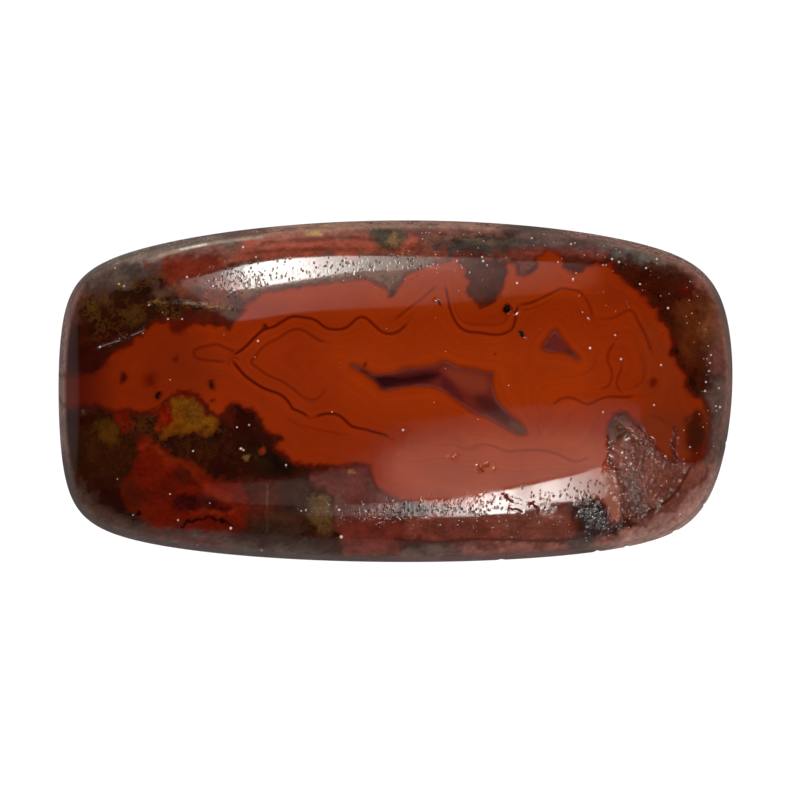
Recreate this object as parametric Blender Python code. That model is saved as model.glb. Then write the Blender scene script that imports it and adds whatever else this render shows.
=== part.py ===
"""Sliced agate cabochon: one polished stone with a domed face, a flared wall and a flat lapped back.

The stone lies on its back. +Z is up through the dome, +X runs along its length, and the origin is the
middle of the back. Everything is in metres.
"""

import math

import bmesh
import bpy
from mathutils import Vector, noise

MM = 0.001

# The girdle: a long cushion whose four sides are shallow arcs. Reach is from the middle of the stone to
# where the arc would stand if the corners were square, and bow is the arc's radius. The crown falls as a
# level of 1 in the middle does on its way to 0 at those square sides, and the girdle is where it stops.
END_REACH = 21.25 * MM
TOP_REACH = 10.86 * MM
BOTTOM_REACH = 10.94 * MM
TOP_BOW = 84.0 * MM
BOTTOM_BOW = 130.0 * MM
LEFT_BOW = 565.0 * MM
RIGHT_BOW = 39.2 * MM
BOW_SHIFT_X = 0.62 * MM
BOW_SHIFT_Y = 1.8 * MM
SIDE_POWER = 2
END_POWER = 4
GIRDLE_LEVEL = 0.126

# Heights, from the back up.
BACK_BEVEL = 0.22 * MM
WALL_TOP = 2.0 * MM
CROWN_HEIGHT = 4.1 * MM
WALL_FLARE = 0.45 * MM

# Mesh density over the crown, and how close to a flaw it gets finer.
CELLS_LONG = 64
CELLS_WIDE = 32
FINE_CELL = 0.36 * MM
FINEST_CELL = 0.13 * MM
FINE_MARGIN = 0.05 * MM
MOST_HALVINGS = 5

# How many steps each search for a place on the outline takes.
GIRDLE_STEPS = 40
PLACE_STEPS = 12

# Soft matrix that the polish has undercut: middle, reach along and across, turn in degrees, depth.
HOLLOWS = {
    "rough_field": (16.1 * MM, -5.5 * MM, 3.1 * MM, 2.0 * MM, 48.0, 0.17 * MM),
    "rough_nose": (15.0 * MM, -3.1 * MM, 1.8 * MM, 1.1 * MM, -36.0, 0.11 * MM),
    "dark_toe": (12.3 * MM, -7.9 * MM, 1.6 * MM, 0.9 * MM, -25.0, 0.11 * MM),
    "top_vug": (0.0 * MM, 9.5 * MM, 2.0 * MM, 0.5 * MM, -4.0, 0.12 * MM),
    "left_ledge": (-17.3 * MM, 3.3 * MM, 1.6 * MM, 0.4 * MM, 22.0, 0.07 * MM),
}
HOLLOW_RIM = 0.3
RAGGEDNESS = 0.25
RAGGED_SPACING = 1.1 * MM
GRAIN_HEIGHT = 0.08 * MM
GRAIN_SPACING = 0.7 * MM

# Open pits: middle, radius. Each is as deep as its radius.
PITS = (
    (7.1 * MM, 5.0 * MM, 0.24 * MM),
    (7.8 * MM, 3.55 * MM, 0.17 * MM),
    (0.1 * MM, 9.75 * MM, 0.2 * MM),
    (0.65 * MM, 9.6 * MM, 0.17 * MM),
    (1.8 * MM, 10.0 * MM, 0.17 * MM),
    (-1.0 * MM, 9.4 * MM, 0.15 * MM),
)

# Lines across the face: the points in millimetres that each runs through, half its width, and how deep
# it is cut. A seam that stands proud has a negative depth.
LINES = {
    "lower_crack": (((8.6, -7.15), (8.85, -7.65), (8.9, -8.6)), 0.13 * MM, 0.11 * MM),
    "crescent": (((5.2, -4.75), (5.55, -5.15), (5.95, -5.1)), 0.11 * MM, 0.07 * MM),
    "upper_seam": (((13.5, -3.5), (14.8, -4.5), (15.1, -5.2)), 0.16 * MM, -0.07 * MM),
    "lower_seam": (((13.4, -4.8), (14.1, -6.2), (14.1, -7.9)), 0.16 * MM, -0.07 * MM),
    "left_seam": (((-18.5, 2.8), (-17.2, 3.5), (-15.8, 3.9)), 0.12 * MM, 0.06 * MM),
}

# Chips broken from the foot of the wall: bearing from the middle of the stone in degrees, width, depth.
CHIPS = (
    (-37.5, 0.9 * MM, 0.16 * MM),
    (-33.0, 0.7 * MM, 0.13 * MM),
    (-26.0, 0.8 * MM, 0.15 * MM),
    (-20.0, 0.9 * MM, 0.13 * MM),
    (-9.0, 0.7 * MM, 0.1 * MM),
)

AGATE_COLOUR = (0.27, 0.035, 0.012, 1.0)
POLISH_ROUGHNESS = 0.12


def smooth_step(low, high, value):
    """Return 0 below low and 1 above high, with a smooth ramp between them."""
    share = min(1.0, max(0.0, (value - low) / (high - low)))
    return share * share * (3.0 - 2.0 * share)


def half_length_at(y, left):
    """Return how far the end arc stands from the middle at this height across the stone."""
    bow = LEFT_BOW if left else RIGHT_BOW
    return END_REACH - (y - BOW_SHIFT_Y) ** 2 / (2.0 * bow)


def half_width_at(x, below):
    """Return how far the side arc stands from the middle at this place along the stone."""
    reach, bow = (BOTTOM_REACH, BOTTOM_BOW) if below else (TOP_REACH, TOP_BOW)
    return reach - (x - BOW_SHIFT_X) ** 2 / (2.0 * bow)


def cushion_level(x, y):
    """Return 1 at the middle of the stone, falling to 0 at its squared-off sides."""
    along = abs(x) / half_length_at(y, x < 0.0)
    across = abs(y) / half_width_at(x, y < 0.0)
    return max(0.0, 1.0 - across**SIDE_POWER) * max(0.0, 1.0 - along**END_POWER)


def girdle_share(u, v):
    """Return how far out the girdle lies on the ray through (u, v) of the unit square."""
    largest = max(abs(u), abs(v))
    if largest == 0.0:
        return 1.0
    low, high = 0.5, 1.0
    for _ in range(GIRDLE_STEPS):
        middle = (low + high) / 2.0
        along, across = middle * u / largest, middle * v / largest
        level = (1.0 - across**SIDE_POWER) * (1.0 - along**END_POWER)
        low, high = (middle, high) if level > GIRDLE_LEVEL else (low, middle)
    return low


def square_to_cushion(u, v):
    """Return the place on the stone of a point of the square from -1 to 1."""
    share = girdle_share(u, v)
    x, y = share * u * END_REACH, share * v * TOP_REACH
    for _ in range(PLACE_STEPS):
        x = share * u * half_length_at(y, u < 0.0)
        y = share * v * half_width_at(x, v < 0.0)
    return x, y


def outward(x, y):
    """Return the unit vector pointing out of the outline at this place."""
    step = 0.01 * MM
    slope = Vector(
        (
            cushion_level(x + step, y) - cushion_level(x - step, y),
            cushion_level(x, y + step) - cushion_level(x, y - step),
        )
    )
    return -slope.normalized()


def hollow_share(x, y, hollow):
    """Return 1 well inside an undercut hollow and 0 outside its ragged rim."""
    middle_x, middle_y, reach_along, reach_across, turn, _ = hollow
    angle = math.radians(turn)
    dx, dy = x - middle_x, y - middle_y
    along = (dx * math.cos(angle) + dy * math.sin(angle)) / reach_along
    across = (dy * math.cos(angle) - dx * math.sin(angle)) / reach_across
    ragged = RAGGEDNESS * noise.noise(Vector((x, y, 0.0)) / RAGGED_SPACING)
    return 1.0 - smooth_step(
        1.0 - HOLLOW_RIM, 1.0, math.hypot(along, across) + ragged
    )


def hollow_depth(x, y):
    """Return how far undercutting and its grain lower the crown here."""
    depth = 0.0
    for hollow in HOLLOWS.values():
        share = hollow_share(x, y, hollow)
        if share > 0.0:
            grain = abs(noise.noise(Vector((x, y, 0.0)) / GRAIN_SPACING))
            depth = max(depth, share * (hollow[-1] + GRAIN_HEIGHT * grain))
    return depth


def pit_depth(x, y):
    """Return how far the open pits lower the crown here."""
    depth = 0.0
    for middle_x, middle_y, radius in PITS:
        share = math.hypot(x - middle_x, y - middle_y) / radius
        depth = max(depth, radius * (1.0 - share * share))
    return depth


def distance_to_run(x, y, run):
    """Return the distance from a point to a run of straight steps given in millimetres."""
    nearest = math.inf
    here = Vector((x, y))
    for start, end in zip(run, run[1:]):
        a, b = Vector(start) * MM, Vector(end) * MM
        share = (here - a).dot(b - a) / (b - a).length_squared
        nearest = min(nearest, (here - a.lerp(b, min(1.0, max(0.0, share)))).length)
    return nearest


def line_depth(x, y):
    """Return how far cracks lower the crown here, less how far seams raise it."""
    depth = 0.0
    for run, half_width, deep in LINES.values():
        share = distance_to_run(x, y, run) / half_width
        depth += deep * max(0.0, 1.0 - share)
    return depth


def crown_height(x, y):
    """Return the height of the finished face above the back."""
    level = max(GIRDLE_LEVEL, cushion_level(x, y))
    floor = math.sqrt(GIRDLE_LEVEL)
    dome = CROWN_HEIGHT * (math.sqrt(level) - floor) / (1.0 - floor)
    flaws = max(hollow_depth(x, y) + line_depth(x, y), pit_depth(x, y))
    inside = smooth_step(GIRDLE_LEVEL, GIRDLE_LEVEL + 0.06, level)
    return WALL_TOP + dome - flaws * inside


def near_hollow(x, y):
    """Return whether a place is in an undercut hollow or on its rim."""
    return any(hollow_share(x, y, hollow) > 0.0 for hollow in HOLLOWS.values())


def near_sharp_flaw(x, y):
    """Return whether a place is at a pit, crack or seam, which need the finest cells."""
    at_pit = any(math.hypot(x - px, y - py) < r + FINE_MARGIN for px, py, r in PITS)
    at_line = any(
        distance_to_run(x, y, run) < width + FINE_MARGIN
        for run, width, _ in LINES.values()
    )
    return at_pit or at_line


def touches(face, wanted):
    """Return whether the face's middle, a corner or the middle of a side is at a flaw."""
    corners = [vert.co for vert in face.verts]
    sides = [(edge.verts[0].co + edge.verts[1].co) / 2.0 for edge in face.edges]
    return any(wanted(*spot.xy) for spot in [face.calc_center_median(), *corners, *sides])


def refine(mesh, wanted, longest):
    """Halve the sides of the faces at a flaw until none there is longer than wanted."""
    for _ in range(MOST_HALVINGS):
        edges = {
            edge
            for face in mesh.faces
            if touches(face, wanted)
            for edge in face.edges
            if edge.calc_length() > longest
        }
        if not edges:
            return
        bmesh.ops.subdivide_edges(mesh, edges=list(edges), cuts=1, use_grid_fill=True)
        bmesh.ops.triangulate(mesh, faces=[face for face in mesh.faces if len(face.edges) > 4])


def add_crown(mesh):
    """Lay a grid over the face, draw it out to the girdle and raise it to the dome."""
    bmesh.ops.create_grid(
        mesh, x_segments=CELLS_LONG, y_segments=CELLS_WIDE, size=1.0
    )
    for vert in mesh.verts:
        vert.co.xy = square_to_cushion(vert.co.x, vert.co.y)
        vert.co.z = 0.0
    refine(mesh, near_hollow, FINE_CELL)
    refine(mesh, near_sharp_flaw, FINEST_CELL)
    bmesh.ops.triangulate(mesh, faces=mesh.faces)
    for vert in mesh.verts:
        vert.co.z = crown_height(vert.co.x, vert.co.y)


def chip_depth(x, y):
    """Return how far a chip cuts in at the foot of the wall on this bearing."""
    bearing = math.degrees(math.atan2(y, x))
    radius = math.hypot(x, y)
    depth = 0.0
    for middle, width, deep in CHIPS:
        away = math.radians(abs(bearing - middle)) * radius
        depth = max(depth, deep * (1.0 - smooth_step(0.0, width / 2.0, away)))
    return depth


def extrude_rim(mesh, rim, height, move_out, chipped):
    """Extrude the open rim to a new height, moving each corner out from the outline.

    Args:
        mesh: The stone being built.
        rim: The edges of the open rim.
        height: The height of the new rim above the back.
        move_out: How far each corner moves away from the outline.
        chipped: Whether the chips cut into this rim.

    Returns:
        The edges of the new rim.
    """
    made = bmesh.ops.extrude_edge_only(mesh, edges=rim)["geom"]
    for vert in (item for item in made if isinstance(item, bmesh.types.BMVert)):
        x, y = vert.co.xy
        way = outward(x, y)
        reach = move_out - (chip_depth(x, y) if chipped else 0.0)
        vert.co = (x + way.x * reach, y + way.y * reach, height)
    return [item for item in made if isinstance(item, bmesh.types.BMEdge)]


def add_wall_and_back(mesh):
    """Draw the open rim down the flared wall and the back's bevel, then close the flat back."""
    rim = [edge for edge in mesh.edges if edge.is_boundary]
    half_up = (WALL_TOP + BACK_BEVEL) / 2.0
    rim = extrude_rim(mesh, rim, half_up, WALL_FLARE / 2.0, False)
    rim = extrude_rim(mesh, rim, BACK_BEVEL, WALL_FLARE / 2.0, True)
    rim = extrude_rim(mesh, rim, 0.0, -BACK_BEVEL, False)
    bmesh.ops.contextual_create(mesh, geom=rim)


def centre_on_back(mesh):
    """Put the origin under the middle of the stone's box."""
    lowest = Vector([min(vert.co[axis] for vert in mesh.verts) for axis in range(3)])
    highest = Vector([max(vert.co[axis] for vert in mesh.verts) for axis in range(3)])
    middle = (lowest + highest) / 2.0
    shift = Vector((-middle.x, -middle.y, -lowest.z))
    bmesh.ops.translate(mesh, verts=mesh.verts, vec=shift)


def polished_agate():
    """Return the plain material of the polished stone."""
    material = bpy.data.materials.new("polished_agate")
    material.use_nodes = True
    shader = material.node_tree.nodes["Principled BSDF"]
    shader.inputs["Base Color"].default_value = AGATE_COLOUR
    shader.inputs["Roughness"].default_value = POLISH_ROUGHNESS
    shader.inputs["Metallic"].default_value = 0.0
    return material


def add_cabochon():
    """Build the stone as one closed solid."""
    mesh = bmesh.new()
    add_crown(mesh)
    add_wall_and_back(mesh)
    centre_on_back(mesh)
    bmesh.ops.recalc_face_normals(mesh, faces=mesh.faces)
    bmesh.ops.triangulate(mesh, faces=mesh.faces)
    data = bpy.data.meshes.new("cabochon")
    mesh.to_mesh(data)
    mesh.free()
    data.shade_smooth()
    data.set_sharp_from_angle(angle=math.radians(35.0))
    data.materials.append(polished_agate())
    stone = bpy.data.objects.new("cabochon", data)
    bpy.context.scene.collection.objects.link(stone)


def main():
    """Clear the scene and build the stone."""
    for old in list(bpy.data.objects):
        bpy.data.objects.remove(old)
    add_cabochon()


main()
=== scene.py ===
"""The looks of a sliced agate cabochon: its polished, pitted surface, its banding and its studio light.

Lengths are millimetres until a mesh is written, which is in metres. Places in the stone's pattern were
read off the photo and stay in its pixels, x right and y down. One pixel is 0.0623 mm on the stone.
"""

import logging
import math
from dataclasses import dataclass, field
from enum import IntEnum

import bpy
import numpy as np
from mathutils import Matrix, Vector, geometry


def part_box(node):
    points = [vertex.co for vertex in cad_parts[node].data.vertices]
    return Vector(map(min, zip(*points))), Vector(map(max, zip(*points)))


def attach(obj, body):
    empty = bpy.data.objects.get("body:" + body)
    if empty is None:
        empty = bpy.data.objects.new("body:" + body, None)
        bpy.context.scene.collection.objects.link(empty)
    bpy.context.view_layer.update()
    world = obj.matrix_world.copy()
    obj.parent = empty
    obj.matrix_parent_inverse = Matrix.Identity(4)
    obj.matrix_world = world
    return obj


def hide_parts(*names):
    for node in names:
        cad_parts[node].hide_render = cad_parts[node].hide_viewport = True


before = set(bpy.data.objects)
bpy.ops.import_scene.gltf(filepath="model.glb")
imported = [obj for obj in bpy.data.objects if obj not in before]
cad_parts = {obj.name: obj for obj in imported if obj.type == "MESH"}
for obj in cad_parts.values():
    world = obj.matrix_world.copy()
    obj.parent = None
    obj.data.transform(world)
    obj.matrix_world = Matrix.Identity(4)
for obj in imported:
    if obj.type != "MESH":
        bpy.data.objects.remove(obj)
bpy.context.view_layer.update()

Socket = bpy.types.NodeSocket

MM = 0.001
NODE = "cabochon"
# The real length, the size and place in the photo, and the camera that frames the stone so.
LENGTH = 42.0
LENGTH_IN_PHOTO = 674.0
PHOTO_SCALE = LENGTH / LENGTH_IN_PHOTO
STONE_IN_PHOTO = (395.5, 391.2)
PHOTO_MIDDLE = (400.0, 400.0)
PHOTO_WIDTH = 800.0
CAMERA_LENS = 200.0
CAMERA_SENSOR = 36.0
CAMERA_PLACE = (
    (PHOTO_MIDDLE[0] - STONE_IN_PHOTO[0]) * PHOTO_SCALE,
    (STONE_IN_PHOTO[1] - PHOTO_MIDDLE[1]) * PHOTO_SCALE,
    PHOTO_WIDTH * PHOTO_SCALE * CAMERA_LENS / CAMERA_SENSOR,
)
LAMP_WHITE = "#FFFAF5"
# Settings of nodes that are added often.
SMOOTH = {"interpolation_type": "SMOOTHSTEP"}
BLEND = {"data_type": "RGBA"}
ALONG_A_LINE = {"noise_dimensions": "1D"}
MINUS = {"operation": "SUBTRACT"}
TIMES = {"operation": "MULTIPLY"}
TIMES_PLUS = {"operation": "MULTIPLY_ADD"}
# The least distance and pit that anything is divided by.
NEARLY_NONE = 1e-6
LEAST_PIT = 0.0001


def in_photo(places: np.ndarray) -> np.ndarray:
    """Return where in the photo places of the stone stand, higher ones a little further out.

    Args:
        places: Rows of x, y and z in millimetres.

    Returns:
        Rows of pixels, x right and y down.
    """
    nearness = CAMERA_PLACE[2] / (CAMERA_PLACE[2] - places[:, 2]) / PHOTO_SCALE
    right = PHOTO_MIDDLE[0] + (places[:, 0] - CAMERA_PLACE[0]) * nearness
    down = PHOTO_MIDDLE[1] - (places[:, 1] - CAMERA_PLACE[1]) * nearness
    return np.column_stack([right, down])


def smooth_step(low: float, high: float, value: float | np.ndarray) -> float | np.ndarray:
    """Return 0 below low and 1 above high, with a smooth ramp between them."""
    share = np.clip((value - low) / (high - low), 0.0, 1.0)
    return share * share * (3.0 - 2.0 * share)


def linear(colour: str) -> np.ndarray:
    """Turn an sRGB hex colour into linear red, green and blue."""
    parts = np.array([int(colour[at : at + 2], 16) for at in (1, 3, 5)]) / 255.0
    return np.where(parts <= 0.04045, parts / 12.92, ((parts + 0.055) / 1.055) ** 2.4)


def rgba(colour: str) -> tuple:
    """Return a hex colour as the four values that a colour socket takes."""
    return (*linear(colour), 1.0)


@dataclass(frozen=True)
class WaveNoise:
    """Smooth noise with a spread of about 1, summed from plane waves in random directions."""

    wavelength: float
    seed: int
    waves: int = 18
    spread: tuple = (0.6, 1.7)

    def at(self, places: np.ndarray) -> np.ndarray:
        """Return the noise at each place.

        Args:
            places: Rows of coordinates, in the unit that the wavelength is in.

        Returns:
            One value for each row.
        """
        pick = np.random.default_rng(self.seed)
        ways = pick.normal(size=(self.waves, places.shape[1]))
        ways /= np.linalg.norm(ways, axis=1)[:, None]
        lengths = self.wavelength * pick.uniform(*self.spread, self.waves)
        phases = pick.uniform(0.0, 2.0 * math.pi, self.waves)
        total = np.zeros(len(places))
        for way, length, phase in zip(ways, lengths, phases):
            total += np.sin(places @ way * (2.0 * math.pi / length) + phase)
        return total / math.sqrt(self.waves / 2.0)


def rounded(points: tuple, closed: bool, rounds: int = 2) -> np.ndarray:
    """Cut the corners of a run of points so that it bends smoothly.

    Args:
        points: The corners' x and y in turn.
        closed: Whether the last corner joins the first.
        rounds: How often the corners are cut.

    Returns:
        The smoother run, whose first point is repeated at its end if it is closed.
    """
    run = np.array(points, dtype=float).reshape(-1, 2)
    for _ in range(rounds):
        after = np.roll(run, -1, axis=0) if closed else run[1:]
        before = run if closed else run[:-1]
        cut = np.stack([0.75 * before + 0.25 * after, 0.25 * before + 0.75 * after], 1)
        cut = cut.reshape(-1, 2)
        run = cut if closed else np.vstack([run[:1], cut, run[-1:]])
    return np.vstack([run, run[:1]]) if closed else run


def gaps(places: np.ndarray, start: np.ndarray, end: np.ndarray) -> np.ndarray:
    """Return the squared distance from each place to one straight step.

    Args:
        places: Rows of coordinates.
        start: Where the step starts.
        end: Where it ends.

    Returns:
        One squared distance for each place.
    """
    way = end - start
    away = places - start
    share = np.clip(away @ way / max(way @ way, 1e-12), 0.0, 1.0)
    gap = away - share[:, None] * way
    return np.einsum("ij,ij->i", gap, gap)


def distance(places: np.ndarray, run: np.ndarray) -> np.ndarray:
    """Return the distance from each place to a run of straight steps.

    Args:
        places: Rows of coordinates.
        run: The steps' ends, in order.

    Returns:
        One distance for each place.
    """
    nearest = np.full(len(places), np.inf)
    for start, end in zip(run[:-1], run[1:]):
        nearest = np.minimum(nearest, gaps(places, start, end))
    return np.sqrt(nearest)


def beside(places: np.ndarray, run: np.ndarray) -> np.ndarray:
    """Return the distance from each place to a run, negative on its right-hand side.

    Args:
        places: Rows of coordinates.
        run: The run's corners, in order.

    Returns:
        One signed distance for each place.
    """
    nearest = np.full(len(places), np.inf)
    side = np.ones(len(places))
    for start, end in zip(run[:-1], run[1:]):
        size = gaps(places, start, end)
        nearer = size < nearest
        nearest[nearer] = size[nearer]
        way, away = end - start, places[nearer] - start
        side[nearer] = np.sign(way[0] * away[:, 1] - way[1] * away[:, 0])
    return np.sqrt(nearest) * side


def inside(places: np.ndarray, run: np.ndarray) -> np.ndarray:
    """Return whether each place is inside a closed run.

    Args:
        places: Rows of x and y.
        run: The run's corners, the first of them also at its end.

    Returns:
        One truth value for each place.
    """
    crossed = np.zeros(len(places), dtype=bool)
    x, y = places.T
    for (x1, y1), (x2, y2) in zip(run[:-1], run[1:]):
        if y1 != y2:
            spans = (y1 > y) != (y2 > y)
            crossed ^= spans & (x < (x2 - x1) * (y - y1) / (y2 - y1) + x1)
    return crossed


def depth_inside(places: np.ndarray, run: np.ndarray, reach: float = math.inf) -> np.ndarray:
    """Return the distance to a closed run's edge, negative outside it.

    Args:
        places: Rows of coordinates.
        run: The closed run.
        reach: How far outside the run's box distances still matter.

    Returns:
        One distance for each place. Beyond the reach it is minus the reach.
    """
    near = np.all(places > run.min(axis=0) - reach, axis=1)
    near &= np.all(places < run.max(axis=0) + reach, axis=1)
    depth = np.full(len(places), -reach)
    close = places[near]
    depth[near] = distance(close, run) * np.where(inside(close, run), 1.0, -1.0)
    return depth


@dataclass(frozen=True)
class Cushion:
    """The stone's form: a long cushion with four shallow arc sides, a dome, a flared wall and a back."""

    end_reach: float = 21.25
    top_reach: float = 10.86
    bottom_reach: float = 10.94
    top_bow: float = 84.0
    bottom_bow: float = 130.0
    left_bow: float = 565.0
    right_bow: float = 39.2
    bow_shift_x: float = 0.62
    bow_shift_y: float = 1.8
    side_power: int = 2
    end_power: int = 4
    girdle_level: float = 0.126
    back_bevel: float = 0.22
    wall_top: float = 2.0
    crown_height: float = 4.1
    wall_flare: float = 0.45
    slope_step: float = 0.01
    halvings: int = 40
    fittings: int = 12

    def half_length(self, y: np.ndarray, left: np.ndarray) -> np.ndarray:
        """Return how far the end arc stands from the middle."""
        bow = np.where(left, self.left_bow, self.right_bow)
        return self.end_reach - (y - self.bow_shift_y) ** 2 / (2.0 * bow)

    def half_width(self, x: np.ndarray, below: np.ndarray) -> np.ndarray:
        """Return how far the side arc stands from the middle.

        Args:
            x: Places along, in millimetres.
            below: Whether each is on the lower side in the photo.

        Returns:
            One half width for each place.
        """
        reach = np.where(below, self.bottom_reach, self.top_reach)
        bow = np.where(below, self.bottom_bow, self.top_bow)
        return reach - (x - self.bow_shift_x) ** 2 / (2.0 * bow)

    def level(self, x: np.ndarray, y: np.ndarray) -> np.ndarray:
        """Return 1 at the middle of the stone, falling to 0 at its squared-off sides.

        Args:
            x: Places along, in millimetres.
            y: Places across.

        Returns:
            One level for each place.
        """
        along = np.abs(x) / self.half_length(y, x < 0.0)
        across = np.abs(y) / self.half_width(x, y < 0.0)
        sides = np.clip(1.0 - across**self.side_power, 0.0, None)
        return sides * np.clip(1.0 - along**self.end_power, 0.0, None)

    def place(self, u: np.ndarray, v: np.ndarray) -> tuple[np.ndarray, np.ndarray]:
        """Return the places on the face of points in the square from -1 to 1.

        Args:
            u: Shares of the way along.
            v: Shares of the way across.

        Returns:
            The x and y arrays.
        """
        largest = np.maximum(np.maximum(np.abs(u), np.abs(v)), 1e-9)
        low, high = np.full_like(u, 0.5), np.ones_like(u)
        for _ in range(self.halvings):
            middle = (low + high) / 2.0
            along, across = np.abs(middle * u / largest), np.abs(middle * v / largest)
            level = (1.0 - across**self.side_power) * (1.0 - along**self.end_power)
            low = np.where(level > self.girdle_level, middle, low)
            high = np.where(level > self.girdle_level, high, middle)
        x, y = low * u * self.end_reach, low * v * self.top_reach
        for _ in range(self.fittings):
            x = low * u * self.half_length(y, u < 0.0)
            y = low * v * self.half_width(x, v < 0.0)
        return x, y

    def outward(self, x: np.ndarray, y: np.ndarray) -> tuple[np.ndarray, np.ndarray]:
        """Return the unit vectors that point out of the outline.

        Args:
            x: Places along, in millimetres.
            y: Places across.

        Returns:
            Their shares along and across.
        """
        step = self.slope_step
        slope_x = self.level(x - step, y) - self.level(x + step, y)
        slope_y = self.level(x, y - step) - self.level(x, y + step)
        size = np.hypot(slope_x, slope_y)
        return slope_x / size, slope_y / size

    def crown(self, x: np.ndarray, y: np.ndarray) -> np.ndarray:
        """Return the height of the unflawed dome above the back.

        Args:
            x: Places along, in millimetres.
            y: Places across.

        Returns:
            One height for each place.
        """
        floor = math.sqrt(self.girdle_level)
        level = np.maximum(self.girdle_level, self.level(x, y))
        dome = self.crown_height * (np.sqrt(level) - floor) / (1.0 - floor)
        return self.wall_top + dome


@dataclass(frozen=True)
class Hollow:
    """A patch of soft matrix that the polish has undercut, by its edge in the photo."""

    edge: tuple
    softness: float
    deep: float


@dataclass(frozen=True)
class Cut:
    """A crack or scratch across the face, by the points in the photo that it runs through."""

    run: tuple
    half_width: float
    deep: float


@dataclass(frozen=True)
class Stroke:
    """A run of crumbly, glinting surface, by its points in the photo."""

    run: tuple
    half_width: float
    strength: float


# Depths below are in millimetres. Places, radii, widths and softness are in pixels of the photo.
# An edge or a run is the x and y of each of its points in turn.
HOLLOWS = {
    "rough field": Hollow((611, 436, 628, 434, 650, 440, 656, 452, 672, 464, 690, 466, 684, 490, 660, 510,
        625, 522, 619, 492, 610, 466), 9.0, 0.13),
    "grey nose": Hollow((609, 414, 621, 416, 636, 436, 640, 450, 622, 446), 6.0, 0.03),
    "dark toe": Hollow((576, 505, 590, 499, 603, 500, 614, 520, 600, 532, 584, 530), 7.0, 0.07),
    "top vug": Hollow((364, 224, 430, 220, 422, 236, 388, 245, 368, 236), 4.0, 0.1),
    "left ledge": Hollow((98, 348, 145, 331, 150, 322, 110, 334), 4.0, 0.06),
}
CUTS = {
    "main crack": Cut((532, 503, 535, 506, 537, 511, 537.5, 520), 1.7, 0.1),
    "upper crack": Cut((504, 493, 508, 497, 510.5, 501), 1.5, 0.08),
    "middle crack": Cut((512, 507, 516, 508.5, 519, 511.5), 1.4, 0.06),
    "chip": Cut((479, 466, 484, 469, 489, 466.5), 3.2, 0.07),
    "chip heart": Cut((482, 467, 485, 471), 2.6, 0.05),
    "scratch": Cut((448.5, 459.5, 457, 457), 1.3, 0.03),
    "left seam": Cut((97, 348, 108, 345, 118, 341, 132, 335, 144, 330), 1.4, 0.06),
    "upper step": Cut((622, 427, 637, 433, 650, 438, 652, 449, 664, 461), 2.0, 0.05),
    "edge crack": Cut((607, 438, 611, 446, 608, 458, 610, 467), 1.5, 0.05),
}
# Where the surface is crumbly.
STROKES = (
    Stroke((611, 446, 620, 450, 627, 457, 633, 464, 636, 474), 4.0, 1.0),
    Stroke((609, 466, 616, 474, 621, 484, 621, 500, 621, 517, 620, 530), 4.0, 1.0),
    Stroke((645, 470, 662, 484, 645, 502), 24.0, 0.36),
    Stroke((627, 470, 633, 490, 640, 510), 10.0, 0.75),
    Stroke((632, 433, 642, 437, 650, 438, 651, 448), 4.0, 0.5),
    Stroke((676, 430, 675, 445, 676, 461, 688, 470), 4.0, 0.7),
    Stroke((588, 510, 597, 518, 606, 528), 12.0, 0.55),
    Stroke((545, 512, 560, 524, 577, 533, 600, 538, 630, 524), 7.0, 0.2),
    Stroke((368, 236, 385, 230, 400, 232, 427, 226), 8.0, 0.25),
    Stroke((96, 348, 108, 344, 118, 341, 132, 335, 143, 330), 2.2, 0.6),
    Stroke((150, 305, 180, 302, 212, 307, 246, 309), 2.6, 0.25),
    Stroke((706, 352, 712, 378, 712, 400, 717, 430), 7.0, 0.4),
    Stroke((612, 257, 660, 266, 692, 290), 6.0, 0.35),
    Stroke((178, 250, 200, 246, 238, 240), 3.5, 0.6),
)
# Where gold and black lace shows in the moss, and where grains glint.
LACE = (
    Stroke((88, 300, 94, 316), 9.0, 0.8),
    Stroke((98, 300, 108, 298), 5.0, 0.7),
    Stroke((114, 284, 140, 283, 158, 279), 6.0, 0.6),
    Stroke((150, 303, 168, 302), 5.0, 0.9),
    Stroke((162, 308, 172, 316), 7.0, 0.8),
    Stroke((184, 304, 215, 306, 232, 309), 5.0, 0.9),
    Stroke((104, 326, 136, 314), 14.0, 0.5),
    Stroke((313, 500, 325, 528), 9.0, 0.7),
    Stroke((384, 228, 398, 242), 9.0, 0.6),
    Stroke((98, 425, 112, 434), 9.0, 0.35),
    Stroke((130, 424, 150, 424), 8.0, 0.35),
    Stroke((178, 408, 210, 424), 12.0, 0.5),
    Stroke((172, 446, 215, 448, 262, 455), 16.0, 0.14),
    Stroke((432, 238, 470, 238, 512, 241), 4.0, 0.3),
    Stroke((620, 262, 680, 270), 5.0, 0.4),
    Stroke((692, 424, 698, 446), 7.0, 0.5),
)
SPARKLING = (
    Stroke((586, 507, 597, 518, 606, 528), 13.0, 1.0),
    Stroke((611, 446, 620, 450, 627, 457, 633, 464, 636, 474), 6.0, 1.3),
    Stroke((609, 464, 614, 471, 621, 484, 621, 500, 621, 517, 620, 530), 5.0, 1.3),
    Stroke((640, 470, 655, 484, 640, 505), 16.0, 0.5),
    Stroke((676, 430, 675, 445, 676, 461, 688, 470), 5.0, 0.6),
    Stroke((545, 512, 560, 524, 577, 533, 600, 538, 630, 524), 8.0, 0.5),
    Stroke((430, 240, 480, 250, 520, 240, 600, 250, 680, 280), 20.0, 0.35),
    Stroke((680, 290, 700, 330, 700, 380, 700, 450, 690, 480), 18.0, 0.3),
    Stroke((420, 520, 520, 525), 16.0, 0.35),
)
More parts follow.
